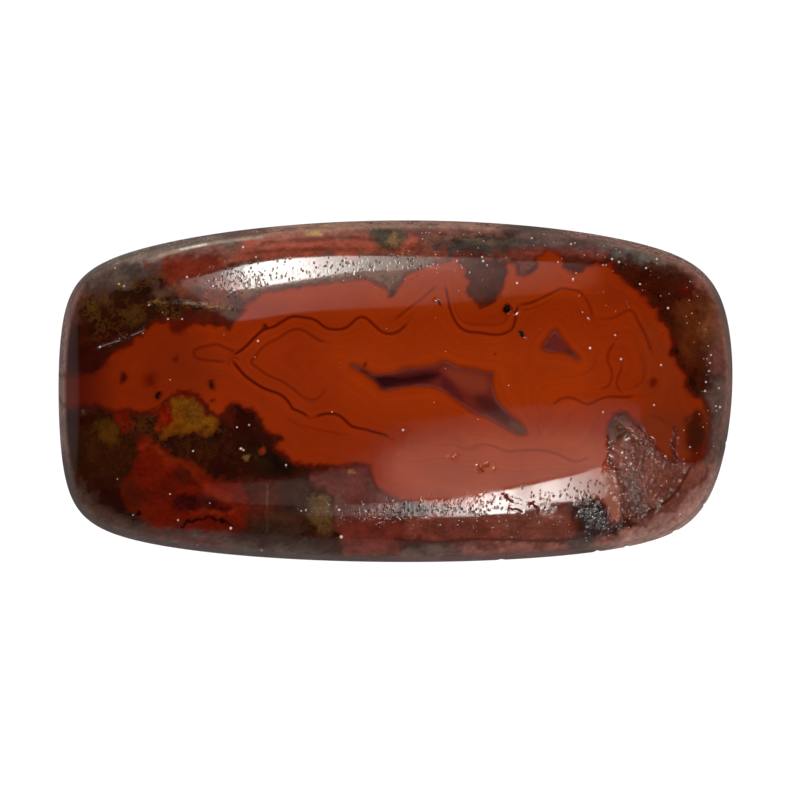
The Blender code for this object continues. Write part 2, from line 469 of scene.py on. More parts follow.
# Where the polish is pitted most: along both shoulders of the dome.
PITTED = (
    Stroke((216, 281, 240, 276, 300, 268, 360, 264, 420, 262), 20.0, 0.52),
    Stroke((430, 262, 500, 262), 16.0, 0.35),
    Stroke((222, 283, 240, 280, 262, 280), 11.0, 0.92),
    Stroke((345, 514, 400, 511, 480, 506, 540, 500, 596, 488), 14.0, 0.52),
    Stroke((370, 514, 420, 511, 470, 507, 496, 505), 10.0, 0.9),
    Stroke((500, 503, 540, 498, 575, 491), 8.0, 0.78),
    Stroke((296, 506, 330, 508), 6.0, 0.5),
    Stroke((262, 278, 330, 268, 430, 264), 9.0, 0.68),
    Stroke((200, 505, 300, 528), 14.0, 0.12),
    Stroke((600, 300, 660, 330, 700, 380), 24.0, 0.35),
)
# The larger open pits, as x, y, radius and depth.
PITS = (
    (508.5, 309.0, 3.9, 0.22), (519.5, 333.0, 2.8, 0.16), (439.0, 302.0, 1.6, 0.06),
    (397.0, 230.0, 3.0, 0.16), (404.0, 232.5, 2.6, 0.14), (424.0, 224.5, 2.6, 0.14),
    (379.0, 229.0, 2.4, 0.12), (388.0, 246.0, 2.2, 0.1), (613.0, 259.0, 2.2, 0.1), (646.0, 268.0, 2.0, 0.1),
    (589.0, 348.0, 1.6, 0.06), (403.0, 430.0, 1.6, 0.06),
)
# Chips at the foot of the wall, as bearing in degrees, and width and depth in millimetres.
CHIPS = (
    (-37.5, 0.35, 0.08), (-33.0, 0.28, 0.07), (-26.0, 0.3, 0.08), (-20.0, 0.3, 0.06), (-9.0, 0.25, 0.06),
    (-57.0, 0.5, 0.05),
)

# The edge of the orange fortification agate, clockwise from the left end.
BODY_EDGE = (
    40, 376, 80, 378, 99, 375, 110, 357, 121, 349, 137, 340, 147, 328, 155, 322, 192, 323, 222, 326,
    232, 325, 241, 314, 246, 304, 255, 298, 263, 292, 294, 288, 351, 279, 367, 279, 386, 288, 391, 298,
    397, 288, 405, 276, 420, 268, 440, 262, 459, 257, 464, 272, 470, 284, 466, 294, 475, 300, 480, 308,
    487, 306, 498, 299, 500, 288, 507, 276, 505, 264, 514, 262, 518, 275, 526, 277, 535, 272, 537, 258,
    545, 250, 558, 250, 567, 269, 573, 274, 580, 272, 587, 265, 611, 262, 615, 272, 636, 290, 645, 295,
    648, 304, 656, 310, 661, 321, 671, 330, 673, 345, 671, 354, 680, 366, 687, 377, 687, 387, 692, 396,
    704, 399, 710, 412, 711, 435, 706, 455, 696, 463, 683, 462, 671, 459, 664, 455, 654, 444, 645, 430,
    634, 420, 625, 412, 612, 413, 608, 425, 607, 440, 609, 455, 610, 466, 617, 474, 621, 489, 621, 514,
    619, 524, 611, 520, 606, 508, 603, 499, 590, 498, 575, 500, 560, 505, 500, 510, 460, 508, 430, 505,
    405, 501, 387, 496, 375, 486, 371, 469, 363, 463, 345, 465, 328, 466, 294, 464, 285, 456, 274, 445,
    282, 442, 281, 437, 273, 434, 264, 427, 259, 415, 248, 408, 236, 402, 227, 406, 221, 416, 209, 411,
    204, 401, 195, 392, 181, 391, 170, 396, 163, 404, 153, 411, 135, 412, 126, 408, 115, 412, 104, 407,
    93, 403, 76, 404, 40, 408,
)

# The outer dark band of the fortification, clockwise from the notch at its left.
OUTER_BAND = (
    193, 349, 205, 345, 216, 344, 227, 348, 234, 354, 241, 349, 248, 343, 257, 335, 265, 327, 279, 324,
    292, 316, 304, 318, 314, 320, 324, 326, 336, 328, 347, 325, 355, 318, 366, 318, 376, 326, 384, 333,
    395, 334, 405, 327, 410, 316, 417, 306, 429, 295, 438, 288, 444, 286, 447, 294, 451, 307, 455, 321,
    463, 331, 475, 334, 489, 334, 504, 332, 512, 328, 517, 318, 518, 308, 524, 304, 533, 303, 545, 297,
    555, 290, 564, 287, 579, 290, 586, 294, 590, 302, 588, 311, 593, 323, 603, 326, 616, 315, 632, 308,
    637, 316, 643, 328, 651, 340, 657, 357, 661, 373, 660, 388, 650, 397, 627, 397, 613, 397, 603, 405,
    598, 424, 590, 446, 574, 455, 550, 449, 521, 452, 505, 452, 498, 446, 478, 446, 466, 447, 457, 440,
    447, 430, 435, 431, 420, 440, 400, 444, 387, 438, 376, 433, 363, 429, 351, 426, 345, 419, 337, 414,
    326, 414, 318, 417, 310, 418, 298, 412, 292, 410, 288, 403, 279, 393, 269, 391, 259, 385, 248, 377,
    241, 370, 234, 361, 220, 360, 205, 361, 193, 359,
)

# The inner dark band, clockwise from its left point.
INNER_BAND = (
    250, 361, 262, 350, 270, 344, 280, 340, 289, 335, 296, 329, 305, 331, 316, 339, 328, 343, 345, 344,
    362, 338, 380, 345, 398, 345, 412, 336, 425, 320, 436, 308, 444, 307, 449, 322, 456, 336, 468, 345,
    488, 346, 506, 344, 520, 336, 527, 322, 534, 313, 547, 307, 562, 300, 573, 303, 579, 313, 580, 328,
    588, 338, 602, 341, 618, 334, 630, 333, 640, 346, 645, 362, 644, 378, 634, 387, 614, 391, 600, 392,
    584, 391, 567, 389, 552, 395, 543, 406, 541, 424, 534, 441, 518, 444, 500, 438, 480, 435, 462, 427,
    446, 420, 425, 425, 405, 430, 385, 426, 365, 420, 346, 408, 332, 400, 321, 398, 311, 401, 304, 397,
    297, 389, 289, 382, 277, 375, 265, 370,
)

# Violet quartz that closes the last openings: a long curved lens and a small triangle.
LENS = (
    350, 365, 357, 366, 366, 371, 375, 376, 386, 375, 395, 374, 406, 368, 418, 368, 433, 367, 441, 362,
    447, 362, 455, 367, 470, 369, 487, 373, 493, 372, 491, 381, 493, 392, 498, 404, 510, 415, 519, 422,
    528, 434, 519, 435, 510, 430, 498, 423, 487, 416, 475, 413, 466, 406, 456, 399, 444, 390, 433, 386,
    418, 385, 395, 388, 382, 391, 376, 382, 365, 374,
)
TRIANGLE = (
    554.5, 330, 559, 336, 564, 342, 570, 349.5, 581, 361, 569, 353.5, 562, 351.5, 551, 351.5, 541.5, 348,
    547.5, 340,
)


@dataclass(frozen=True)
class Patch:
    """A soft-edged patch of one colour in the matrix or in the banded agate."""

    colour: str
    edge: tuple
    softness: float = 4.0
    strength: float = 1.0


MATRIX_COLOUR = "#36140A"
MATRIX_PATCHES = {
    "left grey": Patch("#605048", (60, 300, 70, 270, 100, 240, 150, 230, 168, 256, 160, 275, 140, 284,
        112, 290, 92, 296, 76, 312), 8.0),
    "slate": Patch("#443834", (118, 262, 160, 260, 162, 280, 128, 282), 7.0, 0.8),
    "left blue": Patch("#3C3230", (86, 280, 104, 278, 106, 292, 90, 294), 6.0, 0.8),
    "left red": Patch("#5C2C24", (66, 300, 80, 286, 108, 290, 108, 300, 84, 306, 72, 330), 7.0, 0.8),
    # These four along the top edge: partly the matrix's own colour, partly a painted reflection of the pale
    # surroundings.
    "edge grey": Patch("#806C5E", (100, 240, 150, 215, 245, 200, 250, 234, 215, 243, 170, 254, 150, 260,
        125, 262), 5.0),
    "edge pink": Patch("#885648", (160, 258, 190, 249, 240, 240, 262, 236, 262, 250, 222, 256, 190, 255,
        165, 262), 4.0),
    "edge red": Patch("#A04C38", (236, 244, 270, 236, 300, 233, 455, 236, 455, 256, 400, 257, 305, 257,
        262, 263, 236, 264), 5.0),
    "edge haze": Patch("#A06C5C", (230, 236, 262, 226, 300, 215, 440, 215, 440, 228, 380, 232, 300, 236,
        262, 241), 7.0),
    "red crest": Patch("#782A18", (156, 262, 170, 257, 200, 254, 225, 257, 240, 262, 232, 269, 205, 277,
        182, 284, 164, 280), 4.0),
    "dusky pink": Patch("#763220", (166, 288, 200, 280, 240, 270, 262, 285, 262, 296, 246, 306, 215, 306,
        185, 298), 6.0),
    "violet cloud": Patch("#4C2A1E", (186, 290, 202, 288, 202, 302, 188, 302), 5.0, 0.8),
    "violet cloud two": Patch("#3C2420", (226, 294, 240, 292, 240, 306, 228, 306), 5.0, 0.8),
    "grey skin": Patch("#6E4C3C", (238, 290, 244, 272, 271, 262, 351, 257, 460, 250, 460, 258, 405, 276,
        391, 299, 385, 288, 351, 280, 273, 290, 254, 300), 4.0),
    "crest end": Patch("#9A5644", (218, 257, 236, 255, 242, 262, 232, 267, 220, 266), 4.0, 0.9),
    "pink left": Patch("#80462E", (170, 286, 186, 284, 189, 296, 172, 297), 4.0, 0.9),
    "black run": Patch("#200C04", (108, 296, 118, 288, 140, 290, 164, 293, 168, 299, 150, 302, 128, 300,
        112, 304), 4.0),
    "slate run": Patch("#583A2E", (146, 287, 172, 286, 176, 296, 152, 298), 4.0, 0.9),
    "moss": Patch("#2C1004", (84, 300, 110, 302, 165, 304, 215, 308, 222, 316, 165, 320, 150, 326, 120, 338,
        100, 336, 84, 322), 6.0),
    "gold brown": Patch("#46280C", (122, 308, 140, 308, 140, 320, 124, 320), 6.0),
    "moss foot": Patch("#340A04", (50, 330, 100, 326, 140, 326, 135, 338, 110, 352, 100, 378, 50, 380),
        8.0),
    "dusk fringe": Patch("#4E180C", (160, 314, 215, 308, 248, 306, 240, 318, 230, 328, 190, 328, 160, 328),
        5.0),
    "tan spot": Patch("#CA9C64", (310, 222, 323, 222, 324, 230, 317, 233, 309, 229), 2.0),
    "porous top": Patch("#4A4436", (362, 222, 372, 190, 432, 190, 430, 226, 408, 232, 404, 244, 394, 250,
        382, 248, 372, 236), 4.0),
    "tan heart": Patch("#8E6840", (388, 234, 400, 231, 402, 240, 394, 245, 386, 240), 3.0),
    "plum oval": Patch("#784840", (410, 232, 428, 225, 440, 190, 500, 190, 508, 238, 480, 238, 460, 235,
        440, 236, 424, 242), 4.0),
    "top blue": Patch("#443C36", (416, 244, 430, 240, 500, 243, 520, 240, 560, 244, 560, 248, 500, 254,
        470, 256, 440, 250), 4.0),
    "top red": Patch("#7A382A", (405, 248, 440, 250, 470, 256, 520, 250, 560, 246, 612, 252, 614, 262,
        560, 258, 508, 262, 460, 257, 420, 258), 4.0),
    "blue grey": Patch("#644A42", (505, 190, 560, 190, 620, 220, 618, 248, 560, 245, 516, 242), 5.0),
    "blue grey two": Patch("#62564E", (596, 210, 660, 220, 680, 262, 650, 262, 620, 256, 600, 248), 6.0),
    "tooth": Patch("#502010", (458, 256, 509, 258, 506, 276, 500, 290, 489, 308, 478, 308, 464, 294,
        462, 272), 5.0),
    "tooth tip": Patch("#4E2414", (470, 292, 498, 290, 488, 312, 478, 312), 5.0),
    "second tooth": Patch("#682C20", (513, 258, 538, 258, 536, 274, 520, 278), 4.0),
    "third tooth": Patch("#501E14", (559, 254, 600, 256, 588, 266, 574, 276, 564, 268), 4.0),
    "maroon": Patch("#3C1004", (612, 262, 650, 260, 690, 276, 705, 320, 704, 360, 702, 398, 690, 392,
        680, 366, 674, 345, 662, 321, 640, 292), 6.0),
    "maroon red": Patch("#521004", (676, 276, 702, 286, 706, 304, 684, 300), 7.0, 0.9),
    "maroon brown": Patch("#5A260E", (674, 304, 700, 300, 704, 344, 700, 370, 684, 360, 676, 330), 8.0,
        0.9),
    # Partly the matrix's own colour, partly a painted reflection of the pale surroundings along the edge.
    "edge rose": Patch("#94584C", (640, 225, 690, 240, 725, 285, 730, 310, 706, 296, 690, 272, 664, 256),
        8.0),
    "right brown": Patch("#6A3A20", (698, 296, 716, 296, 722, 330, 712, 352, 702, 340), 8.0),
    # These three along the right end: partly the matrix's own colour, partly a painted reflection of the
    # pale surroundings.
    "light edge": Patch("#7E422A", (712, 306, 750, 306, 750, 352, 716, 352), 8.0),
    "rose edge": Patch("#72382A", (706, 350, 750, 346, 750, 376, 710, 378), 7.0),
    "grey end": Patch("#5E4238", (708, 380, 750, 374, 745, 450, 718, 486, 706, 466, 712, 430), 7.0),
    # Partly the soft matrix's own brown, partly painted sheen: lightened for the glints of its grains.
    "rough field": Patch("#7E463A", (606, 412, 640, 424, 716, 450, 700, 478, 680, 500, 650, 516, 622, 524,
        606, 470), 4.0),
    "grey tongue": Patch("#50301F", (607, 414, 620, 416, 632, 436, 628, 446, 612, 440), 4.0),
    "rough brow": Patch("#6A3628", (626, 438, 654, 444, 662, 460, 640, 462, 628, 450), 5.0),
    "grey rough": Patch("#6A4238", (624, 470, 636, 468, 644, 490, 652, 510, 626, 520), 6.0),
    "brown rough": Patch("#6E3A2A", (650, 470, 690, 470, 680, 496, 655, 504), 8.0, 0.9),
    "toe side": Patch("#6E4A44", (554, 504, 576, 500, 580, 518, 560, 522), 5.0, 0.8),
    "toe": Patch("#282424", (580, 508, 592, 499, 603, 501, 612, 518, 606, 534, 592, 540, 582, 530), 5.0),
    "low brown": Patch("#7C3C2E", (400, 512, 575, 502, 580, 542, 400, 544), 6.0),
    "low red": Patch("#7A4234", (496, 512, 560, 508, 566, 536, 500, 538), 7.0),
    "low dusk": Patch("#6C342A", (430, 520, 480, 520, 490, 538, 430, 538), 5.0),
    # These four along the lower edge: partly the matrix's own colour, partly a painted reflection of the
    # pale surroundings.
    "pink foot": Patch("#8C5044", (395, 546, 575, 545, 650, 522, 695, 490, 718, 452, 760, 452, 700, 560,
        395, 600), 4.0),
    "rose foot": Patch("#A87A70", (600, 545, 660, 520, 705, 480, 760, 470, 700, 600, 600, 600), 7.0),
    "grey foot": Patch("#5C443A", (395, 544, 480, 546, 480, 600, 395, 600), 6.0),
    "toe foot": Patch("#483A38", (572, 530, 598, 534, 594, 560, 568, 560), 6.0),
    "red foot": Patch("#6C2C20", (330, 522, 345, 514, 402, 512, 410, 530, 400, 548, 400, 580, 345, 580,
        345, 548), 5.0),
    "grey matrix": Patch("#6A3028", (318, 466, 376, 464, 381, 484, 405, 503, 390, 512, 345, 515, 335, 500,
        320, 488), 6.0),
    "slate middle": Patch("#3C2018", (272, 484, 312, 484, 314, 512, 296, 520, 276, 516), 7.0),
    "brown middle": Patch("#4C2C1C", (250, 508, 300, 512, 300, 526, 252, 526), 6.0),
    "dark band": Patch("#382418", (244, 526, 312, 524, 312, 536, 250, 538), 4.0),
    "olive oval": Patch("#644828", (312, 494, 324, 496, 332, 512, 333, 530, 326, 536, 314, 526, 309, 508),
        3.5),
    "violet bay": Patch("#623A30", (334, 492, 346, 492, 346, 522, 336, 524), 5.0),
    "dark run": Patch("#2C0A04", (158, 438, 218, 432, 232, 402, 258, 412, 268, 434, 292, 461, 330, 466,
        312, 474, 290, 478, 240, 480, 204, 468, 180, 456), 4.0),
    "run head": Patch("#501404", (222, 410, 234, 408, 238, 424, 226, 430), 5.0, 0.8),
    "black heart": Patch("#1A0C06", (250, 446, 282, 450, 300, 470, 270, 476, 252, 466), 7.0),
    "run brown": Patch("#341404", (180, 444, 215, 440, 225, 456, 200, 462), 7.0, 0.8),
    "olive corner": Patch("#321404", (50, 408, 118, 412, 134, 436, 138, 444, 132, 475, 119, 484, 90, 480,
        50, 460), 5.0),
    "corner dark": Patch("#2C0404", (50, 404, 95, 410, 92, 424, 50, 430), 6.0),
    "olive glow": Patch("#4C2A04", (94, 420, 114, 420, 122, 436, 104, 442, 96, 432), 6.0),
    "grey green": Patch("#381404", (128, 415, 153, 414, 156, 428, 148, 436, 132, 432), 4.0),
    "red web": Patch("#661004", (116, 404, 128, 406, 132, 434, 122, 432), 3.0),
    "red mound": Patch("#821E04", (156, 408, 168, 406, 170, 420, 164, 432, 157, 430), 3.0),
    "gold halo": Patch("#660E04", (164, 398, 181, 391, 199, 393, 208, 408, 224, 422, 219, 430, 187, 430,
        164, 430, 160, 414), 3.0),
    "gold": Patch("#6E3804", (172, 402, 180, 398, 192, 398, 200, 402, 205, 412, 222, 422, 216, 427,
        198, 429, 180, 434, 160, 438, 158, 435, 168, 428, 172, 415), 3.5),
    "gold top": Patch("#7C4608", (172, 402, 182, 398, 200, 402, 198, 412, 176, 414), 4.0),
    "gold light": Patch("#784604", (184, 414, 206, 414, 220, 424, 214, 429, 186, 430), 5.0),
    "red moss": Patch("#641404", (140, 437, 150, 438, 160, 450, 182, 458, 200, 468, 216, 477, 240, 484,
        256, 500, 252, 520, 236, 533, 176, 532, 150, 526, 132, 514, 120, 498, 120, 486, 133, 474, 136, 456),
        3.5),
    "moss shade": Patch("#420E06", (124, 486, 138, 482, 146, 498, 136, 510, 124, 502), 6.0, 0.6),
    "violet haze": Patch("#521E12", (246, 478, 276, 480, 276, 500, 266, 522, 252, 524), 9.0),
    "moss brown": Patch("#501004", (160, 480, 172, 478, 180, 494, 166, 500), 5.0, 0.8),
    "violet mound": Patch("#4A1006", (172, 470, 180, 466, 192, 470, 198, 480, 186, 488, 176, 482), 4.0),
    "violet hollow": Patch("#3E0A08", (168, 498, 185, 494, 206, 498, 238, 504, 232, 511, 196, 512,
        172, 510), 4.0),
    "dark corner": Patch("#260804", (96, 470, 119, 486, 124, 504, 136, 520, 150, 528, 120, 526, 96, 504),
        4.0),
    # These three along the lower left edge: partly the matrix's own colour, partly a painted reflection of
    # the pale surroundings.
    "low left foot": Patch("#523C34", (40, 466, 77, 482, 90, 498, 108, 511, 136, 523, 170, 531, 262, 537,
        262, 600, 40, 600), 9.0),
    "foot pink": Patch("#622E28", (112, 524, 150, 536, 236, 542, 236, 570, 110, 545), 5.0),
    "foot grey": Patch("#4A3C30", (236, 542, 345, 546, 345, 600, 236, 600), 6.0),
}
# What shows of the wall beyond the polished face: its ground colour with a painted reflection of the pale
# surroundings, paler than the face above it.
RIM_COLOUR_AND_SHEEN = "#644438"
RIM_SHEEN_PATCHES = {
    "left rim": Patch("#AA8078", (30, 280, 90, 280, 90, 460, 30, 460), 20.0),
    "top left rim": Patch("#7E6A5E", (60, 200, 230, 180, 230, 260, 90, 300), 12.0),
    "top rim": Patch("#A67C68", (250, 180, 500, 180, 500, 260, 250, 260), 20.0),
    "low left rim": Patch("#624E48", (30, 480, 120, 450, 330, 520, 330, 620, 30, 620), 20.0),
    "low rim": Patch("#724C48", (400, 520, 560, 520, 560, 620, 400, 620), 20.0),
    "low right rim": Patch("#B0867A", (600, 500, 760, 440, 760, 620, 600, 620), 20.0),
    "top right rim": Patch("#9A7062", (540, 180, 780, 180, 780, 300, 700, 300, 540, 240), 16.0),
    "right rim": Patch("#98685A", (700, 300, 780, 300, 780, 440, 700, 440), 20.0),
}
BODY_COLOUR = "#902A04"
BODY_PATCHES = {
    "far left": Patch("#581404", (40, 360, 112, 350, 128, 380, 118, 420, 40, 420), 22.0),
    "left": Patch("#7E2404", (110, 320, 200, 318, 215, 400, 150, 420, 100, 410), 24.0),
    "heart": Patch("#9E3204", (300, 335, 470, 345, 600, 330, 600, 430, 380, 430), 28.0),
    "top": Patch("#9C3404", (250, 270, 600, 255, 600, 300, 250, 315), 14.0),
    "right": Patch("#862C0C", (640, 300, 690, 370, 700, 470, 650, 460, 640, 380), 14.0),
    "low": Patch("#A44220", (380, 440, 600, 425, 606, 470, 590, 500, 400, 504), 14.0),
    "wedge": Patch("#7E2E14", (626, 412, 690, 412, 712, 440, 690, 465, 660, 455), 6.0),
    "under low band": Patch("#74301C", (480, 496, 530, 488, 600, 474, 604, 500, 560, 512, 480, 516), 9.0,
        0.8),
    "tongue": Patch("#9A5A48", (598, 470, 624, 470, 626, 528, 604, 524), 6.0),
    "red spot": Patch("#5E1204", (143, 374, 156, 374, 157, 386, 144, 386), 5.0),
    "far red spot": Patch("#5E1204", (648, 378, 657, 377, 658, 386, 649, 387), 3.0),
    "dark oval": Patch("#4E1808", (688, 413, 698, 409, 706, 420, 706, 445, 700, 460, 690, 455, 684, 436),
        4.0),
    "oval heart": Patch("#34180C", (691, 420, 700, 420, 702, 440, 696, 450, 690, 438), 5.0, 0.6),
    "right margin": Patch("#4E2412", (702, 402, 718, 404, 718, 446, 706, 458, 704, 440, 707, 424), 4.0),
    "under oval": Patch("#5E1804", (686, 456, 706, 452, 704, 470, 690, 474), 5.0),
    "red lobe": Patch("#561004", (166, 314, 194, 314, 190, 330, 178, 335, 169, 330), 3.5),
}
QUARTZ_COLOUR = "#6A2218"
QUARTZ_PATCHES = {
    "left heart": Patch("#2E0A0C", (368, 368, 396, 377, 430, 370, 444, 374, 428, 383, 396, 386, 380, 391),
        5.0),
    "upper": Patch("#80321E", (440, 366, 470, 372, 488, 376, 490, 392, 470, 394, 452, 382), 6.0),
    "plum": Patch("#581A1A", (440, 372, 455, 384, 466, 402, 456, 400, 440, 388), 3.0),
    "low heart": Patch("#4C1C18", (472, 398, 484, 394, 503, 408, 517, 428, 500, 420, 482, 410), 4.0),
    "tip": Patch("#5E3A2A", (508, 420, 520, 424, 530, 436, 512, 430), 2.5),
    "tail": Patch("#461408", (348, 362, 364, 364, 378, 378, 366, 374), 2.0),
    "small heart": Patch("#662420", (548, 338, 557, 336, 563, 346, 552, 349), 3.0),
    "small tail": Patch("#4A2214", (566, 346, 584, 362, 566, 354), 2.0),
}


@dataclass(frozen=True)
class Spot:
    """A small round inclusion."""

    x: float
    y: float
    radius: float
    colour: str


SPOTS = (
    Spot(123, 379, 5.0, "#3A0D03"), Spot(158, 395, 3.5, "#1A0503"), Spot(212, 385, 5.5, "#3A0C02"),
    Spot(212, 401, 2.5, "#4A0D02"), Spot(175, 359, 4.0, "#5E1602"), Spot(439, 302, 1.8, "#2E0B04"),
    Spot(365, 365, 2.0, "#4A0E02"), Spot(496, 354, 2.0, "#5A1804"), Spot(262, 451, 3.5, "#8A2A08"),
    Spot(138, 513, 3.0, "#140402"), Spot(675, 353, 4.5, "#1C0704"), Spot(691, 384, 6.0, "#200905"),
    Spot(695, 391, 5.0, "#260B07"), Spot(246, 457, 3.0, "#7A6030"), Spot(350, 472, 3.0, "#8A6038"),
    Spot(84, 413, 2.0, "#5A4A3A"), Spot(508, 309, 4.5, "#160704"), Spot(520, 333, 3.0, "#160704"),
    Spot(265, 327, 3.0, "#4A0F02"), Spot(228, 325, 5.0, "#4A160C"), Spot(94, 306, 4.5, "#54400E"),
    Spot(104, 300, 3.5, "#563C10"), Spot(122, 284, 4.0, "#543C16"), Spot(133, 285, 3.0, "#5A3814"),
    Spot(148, 266, 4.5, "#6A3624"),
)
# The pale colour of the painted glints.
GLINT_COLOUR = "#F4E2D8"
# Painted highlights: the brightest polish pits, painted pale where they glint, as x, y and radius.
PAINTED_GLINTS = (
    (193, 451, 1.2), (237, 427, 1.0), (249, 425, 1.1), (286, 465, 1.2), (133, 515, 1.0), (170, 494, 1.0),
    (178, 520, 1.3), (231, 528, 1.6), (262, 551, 1.8), (198, 545, 1.1), (210, 503, 0.9), (341, 537, 2.2),
    (339, 510, 1.3), (306, 510, 1.0), (301, 511, 1.0), (119, 284, 1.3), (124, 286, 1.6), (149, 305, 1.1),
    (168, 319, 1.2), (182, 319, 1.0), (187, 277, 1.4), (243, 247, 1.5), (256, 257, 1.2), (100, 347, 1.3),
    (117, 263, 1.0), (115, 268, 1.0), (258, 341, 1.3), (483, 261, 1.6), (482, 257, 1.3), (498, 227, 1.4),
    (430, 227, 1.0), (427, 266, 1.2), (457, 261, 1.2), (517, 283, 1.4), (571, 244, 1.4), (575, 243, 1.2),
    (532, 238, 1.2), (544, 234, 1.0), (573, 279, 1.2), (612, 259, 1.5), (619, 262, 1.5), (603, 265, 1.2),
    (606, 265, 1.2), (657, 259, 1.5), (646, 268, 1.3), (640, 284, 1.2), (668, 308, 1.5), (661, 365, 1.2),
    (590, 348, 1.6), (621, 359, 1.4), (720, 407, 1.6), (716, 406, 1.2), (719, 388, 1.1), (711, 355, 1.0),
    (710, 363, 1.1), (709, 371, 1.2), (706, 382, 1.2), (705, 391, 1.3), (690, 447, 1.1), (654, 405, 1.2),
    (603, 412, 1.1), (403, 430, 1.5), (332, 412, 0.9), (611, 493, 1.3), (588, 318, 1.0), (241, 448.5, 1.6),
    (243.5, 450, 1.3), (613, 448, 1.1), (622, 452, 1.5), (626, 457, 1.0), (631, 463, 1.5), (634, 469, 1.1),
    (611, 463, 1.1), (614, 471, 1.6), (619, 477, 1.2), (621, 481, 1.6), (620, 495, 1.2), (622, 509, 1.0),
    (628, 499, 0.9), (615, 335, 1.0), (487, 265, 1.0), (558, 262, 1.0), (576, 273, 1.0), (680, 514, 1.0),
)


@dataclass(frozen=True)
class Thread:
    """A thin coloured line in the stone, given by the points that it runs through."""

    colour: str
    run: tuple
    half_width: float
    strength: float = 1.0
    wavy: bool = True


THREADS = {
    "gold line": Thread("#A07434", (151, 303, 158, 301, 166, 303), 0.8, 0.8),
    "gold line two": Thread("#8E6A30", (184, 303, 198, 303, 210, 305, 220, 309, 228, 308, 236, 310), 0.9,
        0.8),
    # Painted highlights: pale threads where the lamps glint along the rim and along the ledge.
    "rim highlight": Thread("#B0A090", (160, 256, 172, 252, 186, 248.5, 204, 244.5, 222, 241.5, 246, 238.5,
        262, 237), 1.6, 0.75, False),
    "rim glint": Thread("#FFF2E6", (181, 249.5, 192, 247, 206, 244), 1.0, 0.8, False),
    "ledge glint": Thread("#B4A49A", (98, 347.5, 108, 344, 119, 340.5), 0.6, 0.25, False),
    "ledge glint two": Thread("#C8BAB0", (131, 335.5, 145, 330), 0.6, 0.25, False),
    "middle crack": Thread("#6A5444", (268, 486, 267, 500, 266, 515, 267, 530), 0.8, 0.45, False),
    "moss ridge": Thread("#842204", (192, 514, 205, 511, 215, 512, 225, 515, 240, 508), 1.4, 0.8),
    "olive vein": Thread("#6E5236", (430, 239, 452, 236, 475, 240, 487, 242.5, 505, 242, 516, 238), 1.6,
        0.6),
    "seam shade": Thread("#43100A", (690, 468, 675, 496, 649, 512, 624, 520, 611, 528, 575, 539, 540, 541,
        487, 539, 464, 540, 429, 542, 395, 539), 1.3, 0.85, False),
    "squiggle": Thread("#240503", (180, 527, 190, 521, 200, 518.5, 210, 517.5, 218, 519, 226, 523,
        233, 527), 1.5),
    "moss crest": Thread("#7A2006", (168, 462, 182, 461, 196, 470, 204, 482, 214, 492, 228, 498, 242, 503),
        4.0, 0.75),
    "moss crest two": Thread("#86280A", (143, 447, 151, 443, 158, 450, 166, 459), 3.0, 0.6),
    "wedge seam": Thread("#4A1A12", (676, 430, 674, 445, 676, 462), 2.0, 0.8),
    "top streak": Thread("#4A1A12", (262, 243, 300, 240, 345, 237, 380, 240), 1.8, 0.5, False),
    "top streak two": Thread("#4E1C12", (255, 252, 300, 249, 352, 250, 400, 250), 1.8, 0.4, False),
}


@dataclass(frozen=True)
class Band:
    """A dark growth line of the banded agate, with its strength at its start and at its end."""

    run: tuple
    start: float
    end: float


BANDS = (
    Band((226, 362, 217, 361, 203, 360, 194.5, 357.5, 193, 350, 201, 347, 210, 345, 218, 344, 224, 347,
        230, 349.5, 236, 351), 0.35, 0.5),
    Band((233, 355, 240.5, 351, 247, 345.5, 253.5, 338.5, 259.5, 332.5, 265.5, 328.5, 273, 327.5,
        281.5, 322, 288.5, 317.5, 294.5, 316, 304.5, 317.5, 312.5, 318.5, 318.5, 322, 324, 327, 331, 329.5,
        341.5, 329.5, 349.5, 326, 355.5, 319, 361, 316.5, 367, 318, 375, 326, 381, 331.5, 389, 334.5,
        397, 332.5, 404, 327, 407.5, 323), 0.9, 0.6),
    Band((395, 319.5, 403, 313, 413, 305, 422.5, 298, 430.5, 290.5, 437, 285.5), 0.4, 0.4),
    Band((232.5, 360.5, 237.5, 367, 244.5, 375.5, 254, 382.5, 263, 388, 271, 391, 279, 393.5, 286, 398.5,
        291, 405.5, 292.5, 409, 299, 411, 304.5, 414, 308.5, 417), 0.9, 0.75),
    Band((314.5, 417, 321, 414.5, 327.5, 413.5, 337, 414, 343, 418, 348.5, 424, 354, 427.5, 364.5, 429,
        374, 432, 383, 434, 390, 437.5), 0.8, 0.7),
    Band((445, 286, 446.5, 290, 448, 299, 450, 310, 455, 321.5, 461.5, 329, 469.5, 332, 481, 332.5,
        490, 334.5, 499, 335, 507.5, 332.5, 513.5, 328, 515.5, 319, 516.5, 310, 519, 304), 0.6, 0.65),
    Band((519, 304, 528, 304, 539, 299, 549, 294.5, 556, 290.5, 562.5, 287.5, 570.5, 289.5, 579.5, 291,
        585, 297.5, 587.5, 302, 591, 310, 593, 317), 0.6, 0.3),
    Band((597, 318.5, 611, 319, 619, 315.5, 626.5, 310, 631, 310, 634.5, 313.5, 638, 321.5, 643.5, 330.5,
        648, 341.5, 652, 353), 0.2, 0.45),
    Band((615.5, 341.5, 611, 347, 607.5, 355, 607.5, 361.5, 612, 370.5, 612, 379.5, 607.5, 387.5,
        599.5, 388.5), 0.4, 0.3),
    Band((551.5, 406.5, 558, 400, 568.5, 396.5, 577, 400, 588.5, 405.5, 597.5, 400, 608.5, 396,
        624.5, 397.5, 634, 396), 0.4, 0.5),
    Band((652, 415, 660, 418, 667, 422), 0.3, 0.2),
    Band((470, 447, 487, 443, 506, 452, 520, 450, 545, 450, 562, 456, 575, 463, 590, 457), 0.25, 0.35),
)
